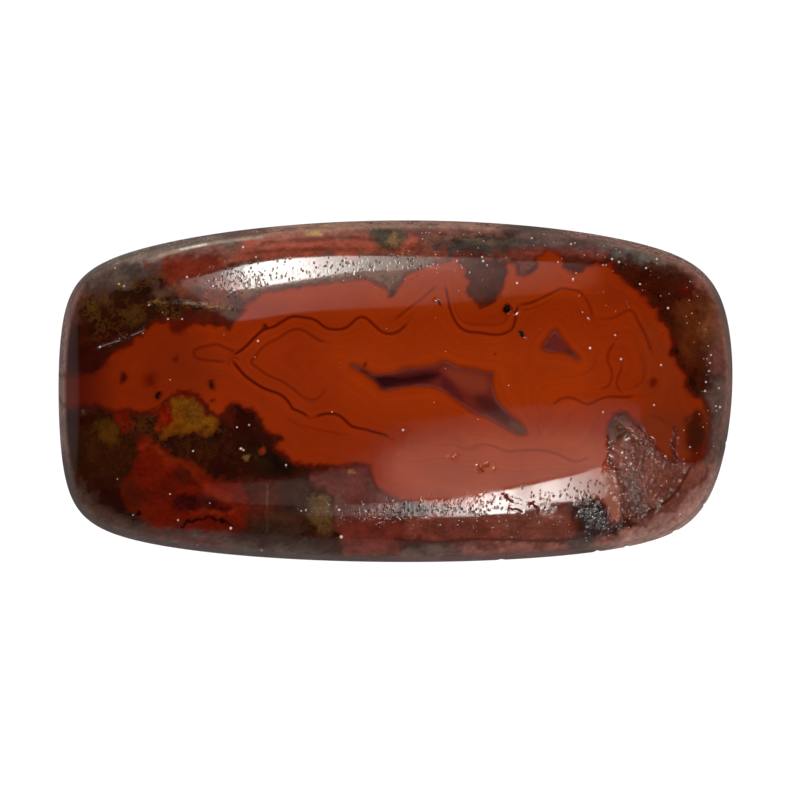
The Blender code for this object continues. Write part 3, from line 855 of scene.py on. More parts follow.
INNER_BANDS = (
    Band((326.5, 342, 319.5, 340.5, 312.5, 336, 304.5, 330.5, 296.5, 328.5, 287.5, 331.5, 279, 338.5,
        270, 342, 262, 347.5, 256, 356, 249.5, 362.5, 257.5, 367.5, 264, 373, 272.5, 377.5, 281.5, 381,
        289.5, 386, 296.5, 391.5, 303.5, 397.5, 311.5, 400.5, 318.5, 398.5, 321.5, 394, 327.5, 388), 0.5,
        0.2),
    Band((285, 414, 291, 421.5, 299, 425, 307, 427, 325, 431, 346, 435), 0.15, 0.2),
    Band((452, 296, 455, 310, 460, 319, 468, 324, 482, 325, 497, 325, 506, 322, 509, 312), 0.2, 0.15),
    Band((520, 309.5, 530, 309, 544, 304, 556, 297), 0.25, 0.1),
    Band((623, 364, 619, 375, 615.5, 384, 622, 393), 0.35, 0.3),
    Band((437, 445, 452, 444, 467, 450, 480, 447), 0.1, 0.25),
    Band((584, 466, 603, 468, 606, 452), 0.15, 0.15),
    Band((598, 346, 596, 360, 590, 372, 572, 378, 560, 374), 0.12, 0.15),
    Band((640, 352, 645, 366, 643, 382, 632, 388), 0.15, 0.2),
    Band((536, 404, 541, 414, 537, 428, 541, 436), 0.12, 0.15),
)
# How far a growth line shows beside it, over what length its ends fade, what counts as far from all lines,
# and how wide a box round a line is searched, all in pixels.
BAND_REACH = 3.0
BAND_FADE = 5.0
BAND_FAR = 9.0
BAND_BOX = 8.0
# How many faint bands lie between the edge, the two dark bands and the quartz.
BANDS_TO_OUTER = 5.0
BANDS_TO_INNER = 3.0
BANDS_TO_HEART = 6.0
# How far outside a patch its edge still matters, and between which shares of its size a mark fades.
EDGE_REACH = 40.0
SPOT_EDGE = (0.55, 1.35)
THREAD_EDGE = (0.48, 1.6)
GLINT_EDGE = (0.35, 1.0)


class Seed(IntEnum):
    """Where each random draw starts, so that every run gives the same stone."""

    LEAN_X = 3
    LEAN_Y = 4
    FINE = 10
    RAGGED = 20
    CRUMBS = 31
    UNDERCUT = 41
    PITTED = 42
    LACE = 43
    SPARKLING = 44
    FLAW_EDGES = 51


@dataclass
class Pattern:
    """The agate's pattern, worked out for a set of places in the stone."""

    form: Cushion
    places: np.ndarray
    lean: float = 0.3
    lean_wavelength: float = 9.0
    fine_waves: tuple = ((11.0, 0.9), (4.5, 0.45))
    ragged_waves: tuple = ((26.0, 2.0), (9.0, 1.6), (4.0, 0.7))
    photo: np.ndarray = field(init=False)
    ragged: np.ndarray = field(init=False)
    fine: np.ndarray = field(init=False)

    def __post_init__(self) -> None:
        """Find where in the photo each place's pattern is read, and its warped copies."""
        x, y, z = self.places.T
        depth = self.lean * np.clip(self.form.crown(x, y) - z, 0.0, None)
        drift_x = depth * WaveNoise(self.lean_wavelength, Seed.LEAN_X).at(self.places)
        drift_y = depth * WaveNoise(self.lean_wavelength, Seed.LEAN_Y).at(self.places)
        self.photo = in_photo(np.column_stack([x + drift_x, y + drift_y, z]))
        solid = np.column_stack([self.photo, z / PHOTO_SCALE])
        self.fine = self.photo + self.warp(solid, self.fine_waves, Seed.FINE)
        self.ragged = self.photo + self.warp(solid, self.ragged_waves, Seed.RAGGED)

    @staticmethod
    def warp(places: np.ndarray, waves: tuple, seed: int) -> np.ndarray:
        """Return a random shift for each place, summed from a few wavelengths.

        Args:
            places: Rows of coordinates.
            waves: A wavelength and a reach for each sum, in the coordinates' unit.
            seed: Where the random draws start.

        Returns:
            Rows of two shifts.
        """
        total = np.zeros((len(places), 2))
        for step, (length, reach) in enumerate(waves):
            total[:, 0] += reach * WaveNoise(length, seed + 2 * step).at(places)
            total[:, 1] += reach * WaveNoise(length, seed + 2 * step + 1).at(places)
        return total

    def body_depth(self) -> np.ndarray:
        """Return how many millimetres inside the banded agate each place is."""
        return depth_inside(self.fine, rounded(BODY_EDGE, True, 1)) * PHOTO_SCALE

    def quartz_depth(self) -> np.ndarray:
        """Return how many millimetres inside the violet quartz each place is."""
        depths = (depth_inside(self.photo, rounded(edge, True, 1)) for edge in (LENS, TRIANGLE))
        return np.maximum(*depths) * PHOTO_SCALE

    @staticmethod
    def way_share(behind: np.ndarray, ahead: np.ndarray) -> np.ndarray:
        """Return how far on its way from the edge behind to the edge ahead each place is, from 0 to 1."""
        behind = np.maximum(behind, 0.0)
        return behind / (behind + np.maximum(ahead, NEARLY_NONE))

    def band_phase(self) -> np.ndarray:
        """Return a count of bands from the agate's edge inward, smooth between the given bands.

        Returns:
            One count for each place.
        """
        edge = self.body_depth() / PHOTO_SCALE
        outer = depth_inside(self.photo, rounded(OUTER_BAND, True))
        inner = depth_inside(self.photo, rounded(INNER_BAND, True))
        heart = -self.quartz_depth() / PHOTO_SCALE
        phase = BANDS_TO_OUTER * self.way_share(edge, -outer)
        between = BANDS_TO_OUTER + BANDS_TO_INNER * self.way_share(outer, -inner)
        deep = BANDS_TO_OUTER + BANDS_TO_INNER + BANDS_TO_HEART * self.way_share(inner, heart)
        phase = np.where(outer > 0.0, between, phase)
        return np.where((outer > 0.0) & (inner > 0.0), deep, phase)

    def band_lines(self, bands: tuple) -> tuple[np.ndarray, np.ndarray]:
        """Return each place's distance to a growth line, signed by side, and the line's strength.

        Args:
            bands: The growth lines, none of them close to another.

        Returns:
            The distances in pixels and the strengths.
        """
        side = np.full(len(self.fine), BAND_FAR)
        strength = np.zeros(len(self.fine))
        for band in bands:
            run = rounded(band.run, False)
            lower, upper = run.min(axis=0) - BAND_BOX, run.max(axis=0) + BAND_BOX
            near = np.flatnonzero(np.all((self.photo > lower) & (self.photo < upper), axis=1))
            places = self.photo[near]
            away = beside(places, run)
            from_start = np.hypot(*(places - run[0]).T)
            from_end = np.hypot(*(places - run[-1]).T)
            share = from_start / (from_start + from_end)
            power = band.start + (band.end - band.start) * share
            power *= smooth_step(0.0, BAND_FADE, np.minimum(from_start, from_end))
            nearer = np.abs(away) < np.abs(side[near])
            side[near[nearer]] = away[nearer]
            close = 1.0 - smooth_step(BAND_REACH, 2.0 * BAND_REACH, np.abs(away))
            strength[near[nearer]] = (power * close)[nearer]
        return side, strength

    def coloured(self, base: str, patches: dict, places: np.ndarray) -> np.ndarray:
        """Return the linear colour of each place after all patches, in their order.

        Args:
            base: The colour under the patches.
            patches: The patches by name.
            places: Where the patches' edges are read, in pixels.

        Returns:
            Rows of red, green and blue.
        """
        colour = np.tile(linear(base), (len(places), 1))
        for patch in patches.values():
            depth = depth_inside(places, rounded(patch.edge, True), EDGE_REACH)
            cover = patch.strength * smooth_step(-patch.softness, patch.softness, depth)
            colour += cover[:, None] * (linear(patch.colour) - colour)
        return colour

    def marked(self, colour: np.ndarray) -> np.ndarray:
        """Return the colour with the small spots, threads and painted glints laid over it.

        Args:
            colour: Rows of red, green and blue, which are changed.

        Returns:
            The same rows.
        """
        for spot in SPOTS:
            away = np.hypot(*(self.fine - (spot.x, spot.y)).T) / spot.radius
            cover = 1.0 - smooth_step(*SPOT_EDGE, away)
            colour += cover[:, None] * (linear(spot.colour) - colour)
        for thread in THREADS.values():
            places = self.fine if thread.wavy else self.photo
            away = distance(places, rounded(thread.run, False)) / thread.half_width
            cover = thread.strength * (1.0 - smooth_step(*THREAD_EDGE, away))
            colour += cover[:, None] * (linear(thread.colour) - colour)
        # Painted highlights: pale dots where the brightest pits glint.
        for right, down, radius in PAINTED_GLINTS:
            away = np.hypot(*(self.photo - (right, down)).T) / radius
            cover = 1.0 - smooth_step(*GLINT_EDGE, away)
            colour += cover[:, None] * (linear(GLINT_COLOUR) - colour)
        return colour


@dataclass
class Stone:
    """The cabochon's mesh: its face, wall and back, and the pattern that its finish reads."""

    form: Cushion = field(default_factory=Cushion)
    cells_long: int = 320
    cells_wide: int = 162
    wall_rows: int = 9
    back_cell: float = 0.34
    # How far round flaws the mesh is fine, and the wavelengths and reaches of uneven edges, in pixels.
    cut_margin: float = 1.5
    # Painted glints get fine cells round them too.
    glint_margin: float = 1.0
    flaw_waves: tuple = ((14.0, 2.0), (6.0, 1.2))
    stroke_wavelength: float = 16.0
    # Crumbs have a wavelength in pixels and a height in millimetres. The rest are millimetres and shares.
    crumb_waves: tuple = ((6.0, 0.02), (3.4, 0.014))
    crumb_depth: float = 0.02
    least_crumbly: float = 0.25
    stroke_unevenness: float = 0.35
    stroke_widths: tuple = (0.6, 1.6)
    stroke_edge: tuple = (0.4, 1.4)
    flawless_rim: float = 0.06
    chip_span: tuple = (0.5, 1.0)
    back_gap: float = 0.6
    same_place: float = 1e-7
    wall_start: float = 0.1
    face_start: float = 0.3
    # Where the wall's painted reflection fades out on the face.
    sheen_end: float = 0.35
    lapped_share: float = 0.6
    # How fully the wall's painted reflection covers the wall.
    sheen_cover: float = 0.85
    weld: float = 0.002
    crease: float = 40.0
    piece: bpy.types.Object = field(init=False)

    def build(self) -> bpy.types.Object:
        """Model the stone and dress it.

        Returns:
            The stone's object.
        """
        self.add_face()
        self.refine_rough_parts()
        self.raise_face()
        self.add_wall()
        self.add_back()
        self.centre()
        self.finish_mesh()
        self.store_pattern()
        self.piece.data.materials.clear()
        material = bpy.data.materials.new("polished agate")
        PolishedAgate(Graph(material)).build()
        self.piece.data.materials.append(material)
        return self.piece

    def coordinates(self) -> np.ndarray:
        """Return the mesh's vertices.

        Returns:
            Rows of x, y and z in millimetres.
        """
        flat = np.empty(3 * len(self.piece.data.vertices))
        self.piece.data.vertices.foreach_get("co", flat)
        return flat.reshape(-1, 3) / MM

    def move_to(self, places: np.ndarray) -> None:
        """Set the mesh's vertices, given in millimetres."""
        self.piece.data.vertices.foreach_set("co", (places * MM).ravel())
        self.piece.data.update()

    def add_face(self) -> None:
        """Add a flat grid and draw it out to the girdle."""
        bpy.ops.object.select_all(action="DESELECT")
        bpy.ops.mesh.primitive_grid_add(
            x_subdivisions=self.cells_long, y_subdivisions=self.cells_wide, size=2.0
        )
        self.piece = bpy.context.object
        self.piece.name = self.piece.data.name = "agate_stone"
        square = self.coordinates() * MM
        x, y = self.form.place(square[:, 0], square[:, 1])
        self.move_to(np.column_stack([x, y, np.zeros(len(x))]))

    def refine_rough_parts(self) -> None:
        """Split the cells where the surface is crumbly, and again where it is cut or pitted."""
        data = self.piece.data
        for deepest in (False, True):
            middles = np.empty(3 * len(data.polygons))
            data.polygons.foreach_get("center", middles)
            x, y, _ = middles.reshape(-1, 3).T / MM
            photo = in_photo(np.column_stack([x, y, self.form.crown(x, y)]))
            near = self.flaw_nearness(photo)
            if not deepest:
                near = np.maximum(near, self.crumbled(photo) - self.least_crumbly)
            bpy.ops.object.mode_set(mode="EDIT")
            bpy.ops.mesh.select_mode(type="FACE")
            bpy.ops.mesh.select_all(action="DESELECT")
            bpy.ops.object.mode_set(mode="OBJECT")
            data.polygons.foreach_set("select", near > 0.0)
            bpy.ops.object.mode_set(mode="EDIT")
            bpy.ops.mesh.subdivide(number_cuts=1)
            bpy.ops.object.mode_set(mode="OBJECT")

    def flaw_nearness(self, photo: np.ndarray) -> np.ndarray:
        """Find where a pit or a cut shapes the surface.

        Args:
            photo: Rows of pixels.

        Returns:
            More than 0 for each place that is near enough to one.
        """
        near = np.full(len(photo), -1.0)
        for cut in CUTS.values():
            reach = cut.half_width + self.cut_margin
            near = np.maximum(near, reach - distance(photo, rounded(cut.run, False, 0)))
        for right, down, radius, _ in PITS:
            away = np.hypot(*(photo - (right, down)).T)
            near = np.maximum(near, radius + self.cut_margin - away)
        # Painted glints get fine cells round them too.
        for right, down, radius in PAINTED_GLINTS:
            away = np.hypot(*(photo - (right, down)).T)
            near = np.maximum(near, radius + self.glint_margin - away)
        return near

    def stroked(self, photo: np.ndarray, strokes: tuple, seed: int) -> np.ndarray:
        """Return how strongly soft, uneven strokes cover each place.

        Args:
            photo: Rows of pixels.
            strokes: The strokes.
            seed: Where the random draws of their width start.

        Returns:
            One strength for each place.
        """
        cover = np.zeros(len(photo))
        noise = WaveNoise(self.stroke_wavelength, seed).at(photo)
        uneven = np.clip(1.0 + self.stroke_unevenness * noise, *self.stroke_widths)
        for stroke in strokes:
            away = distance(photo, rounded(stroke.run, False)) / stroke.half_width
            shown = 1.0 - smooth_step(*self.stroke_edge, away * uneven)
            cover = np.maximum(cover, stroke.strength * shown)
        return cover

    def crumbled(self, photo: np.ndarray) -> np.ndarray:
        """Return from 0 to 1 how crumbly each place is."""
        return self.stroked(photo, STROKES, Seed.UNDERCUT)

    def flaw_depth(self, photo: np.ndarray) -> np.ndarray:
        """Return how far the flaws lower the crown.

        Args:
            photo: Rows of pixels.

        Returns:
            One depth for each place, in millimetres.
        """
        depth = np.zeros(len(photo))
        uneven = photo + Pattern.warp(photo, self.flaw_waves, Seed.FLAW_EDGES)
        for hollow in HOLLOWS.values():
            share = depth_inside(uneven, rounded(hollow.edge, True), EDGE_REACH)
            depth = np.maximum(depth, hollow.deep * smooth_step(0.0, hollow.softness, share))
        crumbs = np.full(len(photo), self.crumb_depth)
        for step, (length, high) in enumerate(self.crumb_waves):
            crumbs += high * WaveNoise(length, Seed.CRUMBS + step).at(photo)
        depth += self.crumbled(photo) * crumbs
        for cut in CUTS.values():
            share = distance(uneven, rounded(cut.run, False, 0)) / cut.half_width
            depth += cut.deep * np.clip(1.0 - share, 0.0, None)
        for right, down, radius, deep in PITS:
            share = np.hypot(*(uneven - (right, down)).T) / radius
            depth = np.maximum(depth, deep * (1.0 - share * share))
        return depth

    def raise_face(self) -> None:
        """Raise the flat face to the dome and cut its flaws."""
        x, y, _ = self.coordinates().T
        low = self.form.girdle_level
        share = smooth_step(low, low + self.flawless_rim, self.form.level(x, y))
        height = self.form.crown(x, y)
        photo = in_photo(np.column_stack([x, y, height]))
        self.move_to(np.column_stack([x, y, height - share * self.flaw_depth(photo)]))

    def add_wall(self) -> None:
        """Extrude the face's rim down the flared wall and round the back's bevel."""
        bpy.ops.object.mode_set(mode="EDIT")
        bpy.ops.mesh.select_mode(type="EDGE")
        bpy.ops.mesh.select_all(action="DESELECT")
        bpy.ops.mesh.select_non_manifold()
        bpy.ops.object.mode_set(mode="OBJECT")
        rim = np.empty(len(self.piece.data.vertices), dtype=bool)
        self.piece.data.vertices.foreach_get("select", rim)
        known, total = len(rim), int(rim.sum())
        bpy.ops.object.mode_set(mode="EDIT")
        for _ in range(self.wall_rows + 1):
            bpy.ops.mesh.extrude_region_move()
        bpy.ops.object.mode_set(mode="OBJECT")
        places = self.coordinates()
        for row in range(self.wall_rows + 1):
            block = slice(known + row * total, known + (row + 1) * total)
            places[block] = self.wall_row(places[block], row + 1)
        self.move_to(places)

    def wall_row(self, rim: np.ndarray, row: int) -> np.ndarray:
        """Return one row of the wall, or the rim of the flat back after the last of them.

        Args:
            rim: Rows of x, y and z on the face's rim.
            row: The row's number, from 1 below the rim.

        Returns:
            The row's places.
        """
        x, y, _ = rim.T
        way_x, way_y = self.form.outward(x, y)
        share = min(1.0, row / self.wall_rows)
        form = self.form
        height = form.wall_top + (form.back_bevel - form.wall_top) * share
        reach = form.wall_flare * share - self.chip_depth(x, y) * smooth_step(*self.chip_span, share)
        if row > self.wall_rows:
            height, reach = 0.0, reach - form.back_bevel
        return np.column_stack([x + way_x * reach, y + way_y * reach, np.full(len(x), height)])

    @staticmethod
    def chip_depth(x: np.ndarray, y: np.ndarray) -> np.ndarray:
        """Return how far the chips cut in at the foot of the wall.

        Args:
            x: Places along, in millimetres.
            y: Places across.

        Returns:
            One depth for each place.
        """
        bearing = np.degrees(np.arctan2(y, x))
        depth = np.zeros_like(x)
        for middle, width, deep in CHIPS:
            away = np.radians(np.abs(bearing - middle)) * np.hypot(x, y)
            depth = np.maximum(depth, deep * (1.0 - smooth_step(0.0, width / 2.0, away)))
        return depth

    def add_back(self) -> None:
        """Close the back with a flat sheet of small triangles and join it on."""
        total = 2 * (self.cells_long + self.cells_wide)
        rim = self.coordinates()[-total:, :2]
        rim = rim[np.argsort(np.arctan2(rim[:, 1], rim[:, 0]))]
        xs = np.arange(rim[:, 0].min(), rim[:, 0].max(), self.back_cell)
        ys = np.arange(rim[:, 1].min(), rim[:, 1].max(), self.back_cell)
        grid = np.stack(np.meshgrid(xs, ys), -1).reshape(-1, 2)
        grid = grid[depth_inside(grid, np.vstack([rim, rim[:1]])) > self.back_gap * self.back_cell]
        corners = [Vector(place) for place in np.vstack([rim, grid])]
        edges = [(at, (at + 1) % total) for at in range(total)]
        verts, _, faces, *_ = geometry.delaunay_2d_cdt(corners, edges, [], 1, self.same_place)
        sheet = bpy.data.meshes.new("back")
        sheet.from_pydata([(x * MM, y * MM, 0.0) for x, y in verts], [], faces)
        back = bpy.data.objects.new("back", sheet)
        bpy.context.scene.collection.objects.link(back)
        back.select_set(True)
        self.piece.select_set(True)
        bpy.context.view_layer.objects.active = self.piece
        bpy.ops.object.join()

    def centre(self) -> None:
        """Put the foot's middle where the frame has it."""
        low, high = (np.array(corner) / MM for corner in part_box(NODE))
        places = self.coordinates()
        shift = (low + high) / 2.0 - (places.min(axis=0) + places.max(axis=0)) / 2.0
        shift[2] = low[2] - places[:, 2].min()
        self.move_to(np.clip(places + shift, low, high))

    def finish_mesh(self) -> None:
        """Weld the rims, turn the faces outward and shade them smooth."""
        bpy.ops.object.mode_set(mode="EDIT")
        bpy.ops.mesh.select_all(action="SELECT")
        bpy.ops.mesh.remove_doubles(threshold=self.weld * MM)
        bpy.ops.mesh.normals_make_consistent(inside=False)
        bpy.ops.object.mode_set(mode="OBJECT")
        bpy.ops.object.shade_smooth_by_angle(angle=math.radians(self.crease))

    def store_pattern(self) -> None:
        """Write the pattern's fields on the vertices, where the finish reads them."""
        places = self.coordinates()
        z = places[:, 2]
        pattern = Pattern(self.form, places)
        wall = self.form.wall_top - self.wall_start
        on_face = smooth_step(wall, self.form.wall_top + self.face_start, z)
        self.add_field("body_depth", pattern.body_depth())
        self.add_field("quartz_depth", pattern.quartz_depth())
        self.add_field("band_phase", pattern.band_phase())
        for name, bands in (("outer", BANDS), ("inner", INNER_BANDS)):
            side, strength = pattern.band_lines(bands)
            self.add_field(f"{name}_side", side)
            self.add_field(f"{name}_strength", strength)
        photo = in_photo(places)
        self.add_field("undercut", self.crumbled(photo) * on_face)
        self.add_field("pitted", self.stroked(photo, PITTED, Seed.PITTED) * on_face)
        self.add_field("lace", self.stroked(photo, LACE, Seed.LACE) * on_face)
        self.add_field("sparkling", self.stroked(photo, SPARKLING, Seed.SPARKLING) * on_face)
        self.add_field("polished", on_face)
        self.add_field("lapped", 1.0 - smooth_step(0.0, self.lapped_share * self.form.back_bevel, z))
        matrix = pattern.coloured(MATRIX_COLOUR, MATRIX_PATCHES, pattern.ragged)
        body = pattern.coloured(BODY_COLOUR, BODY_PATCHES, pattern.fine)
        self.add_colour("quartz_colour", pattern.coloured(QUARTZ_COLOUR, QUARTZ_PATCHES, pattern.photo))
        # The wall's ground colour and its painted reflection of the pale surroundings, over the wall and
        # fading out just above it.
        skin = pattern.coloured(RIM_COLOUR_AND_SHEEN, RIM_SHEEN_PATCHES, pattern.ragged)
        sheen_share = 1.0 - smooth_step(wall, self.form.wall_top + self.sheen_end, z)
        sheen_share = self.sheen_cover * sheen_share[:, None]
        for name, colour in (("matrix_colour", matrix), ("body_colour", body)):
            colour = pattern.marked(colour)
            self.add_colour(name, colour + sheen_share * (skin - colour))

    def add_field(self, name: str, values: np.ndarray) -> None:
        """Store one number for each vertex."""
        layer = self.piece.data.attributes.new(name, "FLOAT", "POINT")
        layer.data.foreach_set("value", values.astype(np.float32))

    def add_colour(self, name: str, values: np.ndarray) -> None:
        """Store one linear colour for each vertex.

        Args:
            name: What the finish calls it.
            values: Rows of red, green and blue.
        """
        layer = self.piece.data.attributes.new(name, "FLOAT_COLOR", "POINT")
        full = np.column_stack([np.clip(values, 0.0, 1.0), np.ones(len(values))])
        layer.data.foreach_set("color", full.astype(np.float32).ravel())


class Graph:
    """The node tree of a material or of the world."""

    def __init__(self, owner: bpy.types.Material | bpy.types.World) -> None:
        """Start on an empty node tree.

        Args:
            owner: What the nodes belong to.
        """
        owner.use_nodes = True
        self.tree = owner.node_tree
        self.tree.nodes.clear()

    def add(self, kind: str, inputs: tuple | dict = (), **settings: str) -> bpy.types.NodeOutputs:
        """Add a node with its settings and links.

        Args:
            kind: The node's type, without the ShaderNode that its full name starts with.
            inputs: Values or sockets, in the order of the node's inputs or by their names.
            **settings: The node's properties.

        Returns:
            The node's outputs.
        """
        node = self.tree.nodes.new(f"ShaderNode{kind}")
        for name, value in settings.items():
            setattr(node, name, value)
        for name, value in (inputs if isinstance(inputs, dict) else dict(enumerate(inputs))).items():
            if isinstance(value, Socket):
                self.tree.links.new(value, node.inputs[name])
            else:
                node.inputs[name].default_value = value
        return node.outputs


@dataclass(frozen=True)
class Grain:
    """Noise in a finish: its features in a millimetre, its detail, and the tones that it spans."""

    per_mm: float
    detail: float = 3.0
    roughness: float = 0.55
    span: tuple = (0.3, 0.7)
    tones: tuple = (0.0, 1.0)

    def at(self, place: Socket) -> dict:
        """Return the inputs of the noise at a place."""
        return {"Vector": place, "Scale": self.per_mm, "Detail": self.detail, "Roughness": self.roughness}


@dataclass(frozen=True)
class Scatter:
    """Pits of one size in scattered cells, where a cell's chance beats the threshold.

    The radius is in cells, and the thresholds are those of clean places and of the most pitted ones.
    """

    per_mm: float
    clean: float
    pitted: float
    radius: float
    deep: float = 0.0


# Natural agate, domed on a lap and polished with a fine oxide. The eye gets a wet, clear gloss over deep
# warm colour, broken by open polish pits and by bright specks, painted highlights where fine pits glint.
@dataclass(frozen=True)
class PolishedAgate:
    """Banded red agate in mossy matrix, with a pitted polish on the face and a lapped back."""

    graph: Graph
    growth_line: str = "#520E02"
    contact_red: str = "#571003"
    quartz_rim: str = "#664044"
    quartz_halo: str = "#4E1405"
    # Painted shade: the dark colour that the pits are painted.
    pit_shade_colour: str = "#1E0B06"
    vein_brown: str = "#4E2A12"
    cloud_brown: str = "#46200E"
    gold_lace: str = "#7C5520"
    black_lace: str = "#100A08"
    ior: float = 1.54
    polish: float = 0.065
    undercut_dull: float = 0.28
    back_dull: float = 0.42
    rub: Grain = Grain(0.8, 4.0, 0.6, tones=(-0.02, 0.03))
    # Real growth bands are down to 0.02 mm apart, too fine to show. These are 0.1 mm and up.
    band_drift: Grain = Grain(0.45, 2.0)
    band_drift_reach: float = 0.35
    broad_bands: float = 1.1
    broad_tones: tuple = (0.95, 1.05)
    thin_bands: float = 4.3
    thin_strength: float = 0.17
    thin_faded_at: float = -6.0
    thin_clear_at: float = 6.0
    thin_faded: float = 0.25
    band_detail: float = 2.0
    clouds: Grain = Grain(0.3, 4.0, 0.6, tones=(0.94, 1.06))
    # Distances from a growth line in pixels of the photo, 0.062 mm each.
    line_core: tuple = (0.3, 2.2)
    line_side: tuple = (1.2, 3.0)
    line_strength: float = 1.2
    line_side_light: float = 0.1
    mottle: Grain = Grain(0.9, 6.0, 0.62, tones=(0.73, 1.27))
    speckle: Grain = Grain(3.6, 4.0, 0.65, tones=(0.88, 1.12))
    veins: Grain = Grain(1.7, 5.0, 0.7, span=(0.6, 0.7))
    vein_strength: float = 0.25
    brown_clouds: Grain = Grain(0.7, 5.0, 0.6, span=(0.46, 0.7), tones=(0.0, 0.4))
    gold_threads: Grain = Grain(1.5, 5.0, 0.62, span=(0.01, 0.065), tones=(0.42, 0.0))
    black_threads: Grain = Grain(2.6, 5.0, 0.62, span=(0.01, 0.065), tones=(0.6, 0.0))
    # Depths inside an edge in millimetres, negative outside it.
    contact_fray: Grain = Grain(3.2, 4.0, 0.65)
    contact_fray_reach: float = 0.16
    contact_edge: tuple = (-0.08, 0.08)
    contact_outside: tuple = (-0.32, -0.08)
    contact_inside: tuple = (0.02, 0.25)
    contact_strength: float = 0.55
    quartz_edge: tuple = (-0.05, 0.03)
    quartz_around: tuple = (-0.3, -0.02)
    quartz_around_strength: float = 0.5
    quartz_skin_outside: tuple = (-0.08, 0.02)
    quartz_skin_inside: tuple = (0.03, 0.15)
    quartz_skin: Grain = Grain(0.9, span=(0.38, 0.66), tones=(0.05, 0.6))
    # Real glinting pits are from 0.02 mm, too fine to show. The finest painted glints here are 0.1 mm
    # across.
    glint_specks: tuple = (
        Scatter(1.3, 0.93, 0.6, 0.055), Scatter(2.9, 0.99, 0.45, 0.14), Scatter(5.0, 1.05, 0.36, 0.26)
    )
    glint_heart: float = 0.4
    glint_faintest: float = 0.3
    # Open pits are drawn out along the way that the stone was drawn over the lap.
    lap_stretch: tuple = (1.35, 0.68, 1.0)
    lap_turn: float = 38.0
    fine_pits: Scatter = Scatter(4.0, 0.985, -0.05, 0.38, 0.015)
    coarse_pits: Scatter = Scatter(2.7, 0.95, 0.8, 0.22, 0.03)
    pit_growth: float = 2.0
    pit_heart: float = 0.3
    pit_shade: float = 0.75
    pit_shade_from: tuple = (0.1, 0.6)
    ripple: Grain = Grain(2.2, 2.0)
    ripple_deep: float = 0.003
    ripple_in_pitted: tuple = (0.6, 1.0, 0.4, 1.7)
    worms: Grain = Grain(3.4, 2.0, span=(0.55, 0.66))
    worms_in_pitted: tuple = (0.55, 1.0, 0.0, -0.012)
    # Crumbs of soft matrix, 0.13 mm wide.
    crumbs: Grain = Grain(7.5, 3.0, 0.6)
    crumb_deep: float = 0.065

    def build(self) -> None:
        """Build the finish in its nodes."""
        add = self.graph.add
        colour = self.quartz(self.contact(self.matrix(), self.body()))
        fine, coarse = self.pits(self.fine_pits), self.pits(self.coarse_pits)
        # Painted shade: pits darkened, most where the polish is pitted.
        deepest = add("Math", (fine, coarse), operation="MAXIMUM")[0]
        shade = add("Math", (deepest, self.pit_shade), **TIMES)[0]
        pitted = add("Attribute", attribute_name="pitted")["Fac"]
        shown = add("MapRange", (pitted, *self.pit_shade_from), **SMOOTH)[0]
        shade = add("Math", (shade, shown), **TIMES)[0]
        colour = add("Mix", {0: shade, 6: colour, 7: rgba(self.pit_shade_colour)}, **BLEND)[2]
        colour, rough, normal = self.add_painted_glints(colour), self.roughness(), self.relief(fine, coarse)
        inputs = {"Base Color": colour, "Roughness": rough, "IOR": self.ior, "Normal": normal}
        add("OutputMaterial", {"Surface": add("BsdfPrincipled", inputs)[0]})

    def millimetres(self, stretch: tuple = (1.0, 1.0, 1.0), turn: float = 0.0) -> Socket:
        """Give the place on the stone in millimetres.

        Args:
            stretch: How much longer each axis is made.
            turn: The turn about Z in degrees.

        Returns:
            The place.
        """
        place = self.graph.add("TexCoord")["Object"]
        scale = tuple(share / MM for share in stretch)
        inputs = {"Vector": place, "Rotation": (0.0, 0.0, math.radians(turn)), "Scale": scale}
        return self.graph.add("Mapping", inputs)[0]

    def uneven(self, place: Socket, grain: Grain) -> Socket:
        """Return a grain's tones, spread unevenly over the stone."""
        noise = self.graph.add("TexNoise", grain.at(place))[0]
        return self.graph.add("MapRange", (noise, *grain.span, *grain.tones), **SMOOTH)[0]

    def shaded(self, name: str, light: Socket) -> Socket:
        """Make a colour that is stored on the mesh lighter or darker.

        Args:
            name: The stored colour.
            light: What it is multiplied by.

        Returns:
            The colour.
        """
        colour = self.graph.add("Attribute", attribute_name=name)["Color"]
        tone = self.graph.add("CombineColor", (light, light, light))[0]
        return self.graph.add("Mix", {0: 1.0, 6: colour, 7: tone}, blend_type="MULTIPLY", **BLEND)[2]

    def skin(self, depth: Socket, outside: tuple, inside: tuple) -> Socket:
        """Cover a thin layer on both sides of an edge.

        Args:
            depth: How far inside the edge the place is.
            outside: Where the cover starts and is full.
            inside: Where it starts to fade and is gone.

        Returns:
            The cover, from 0 to 1.
        """
        add = self.graph.add
        rise = add("MapRange", (depth, *outside), **SMOOTH)[0]
        fall = add("MapRange", (depth, *inside, 1.0, 0.0), **SMOOTH)[0]
        return add("Math", (rise, fall), **TIMES)[0]

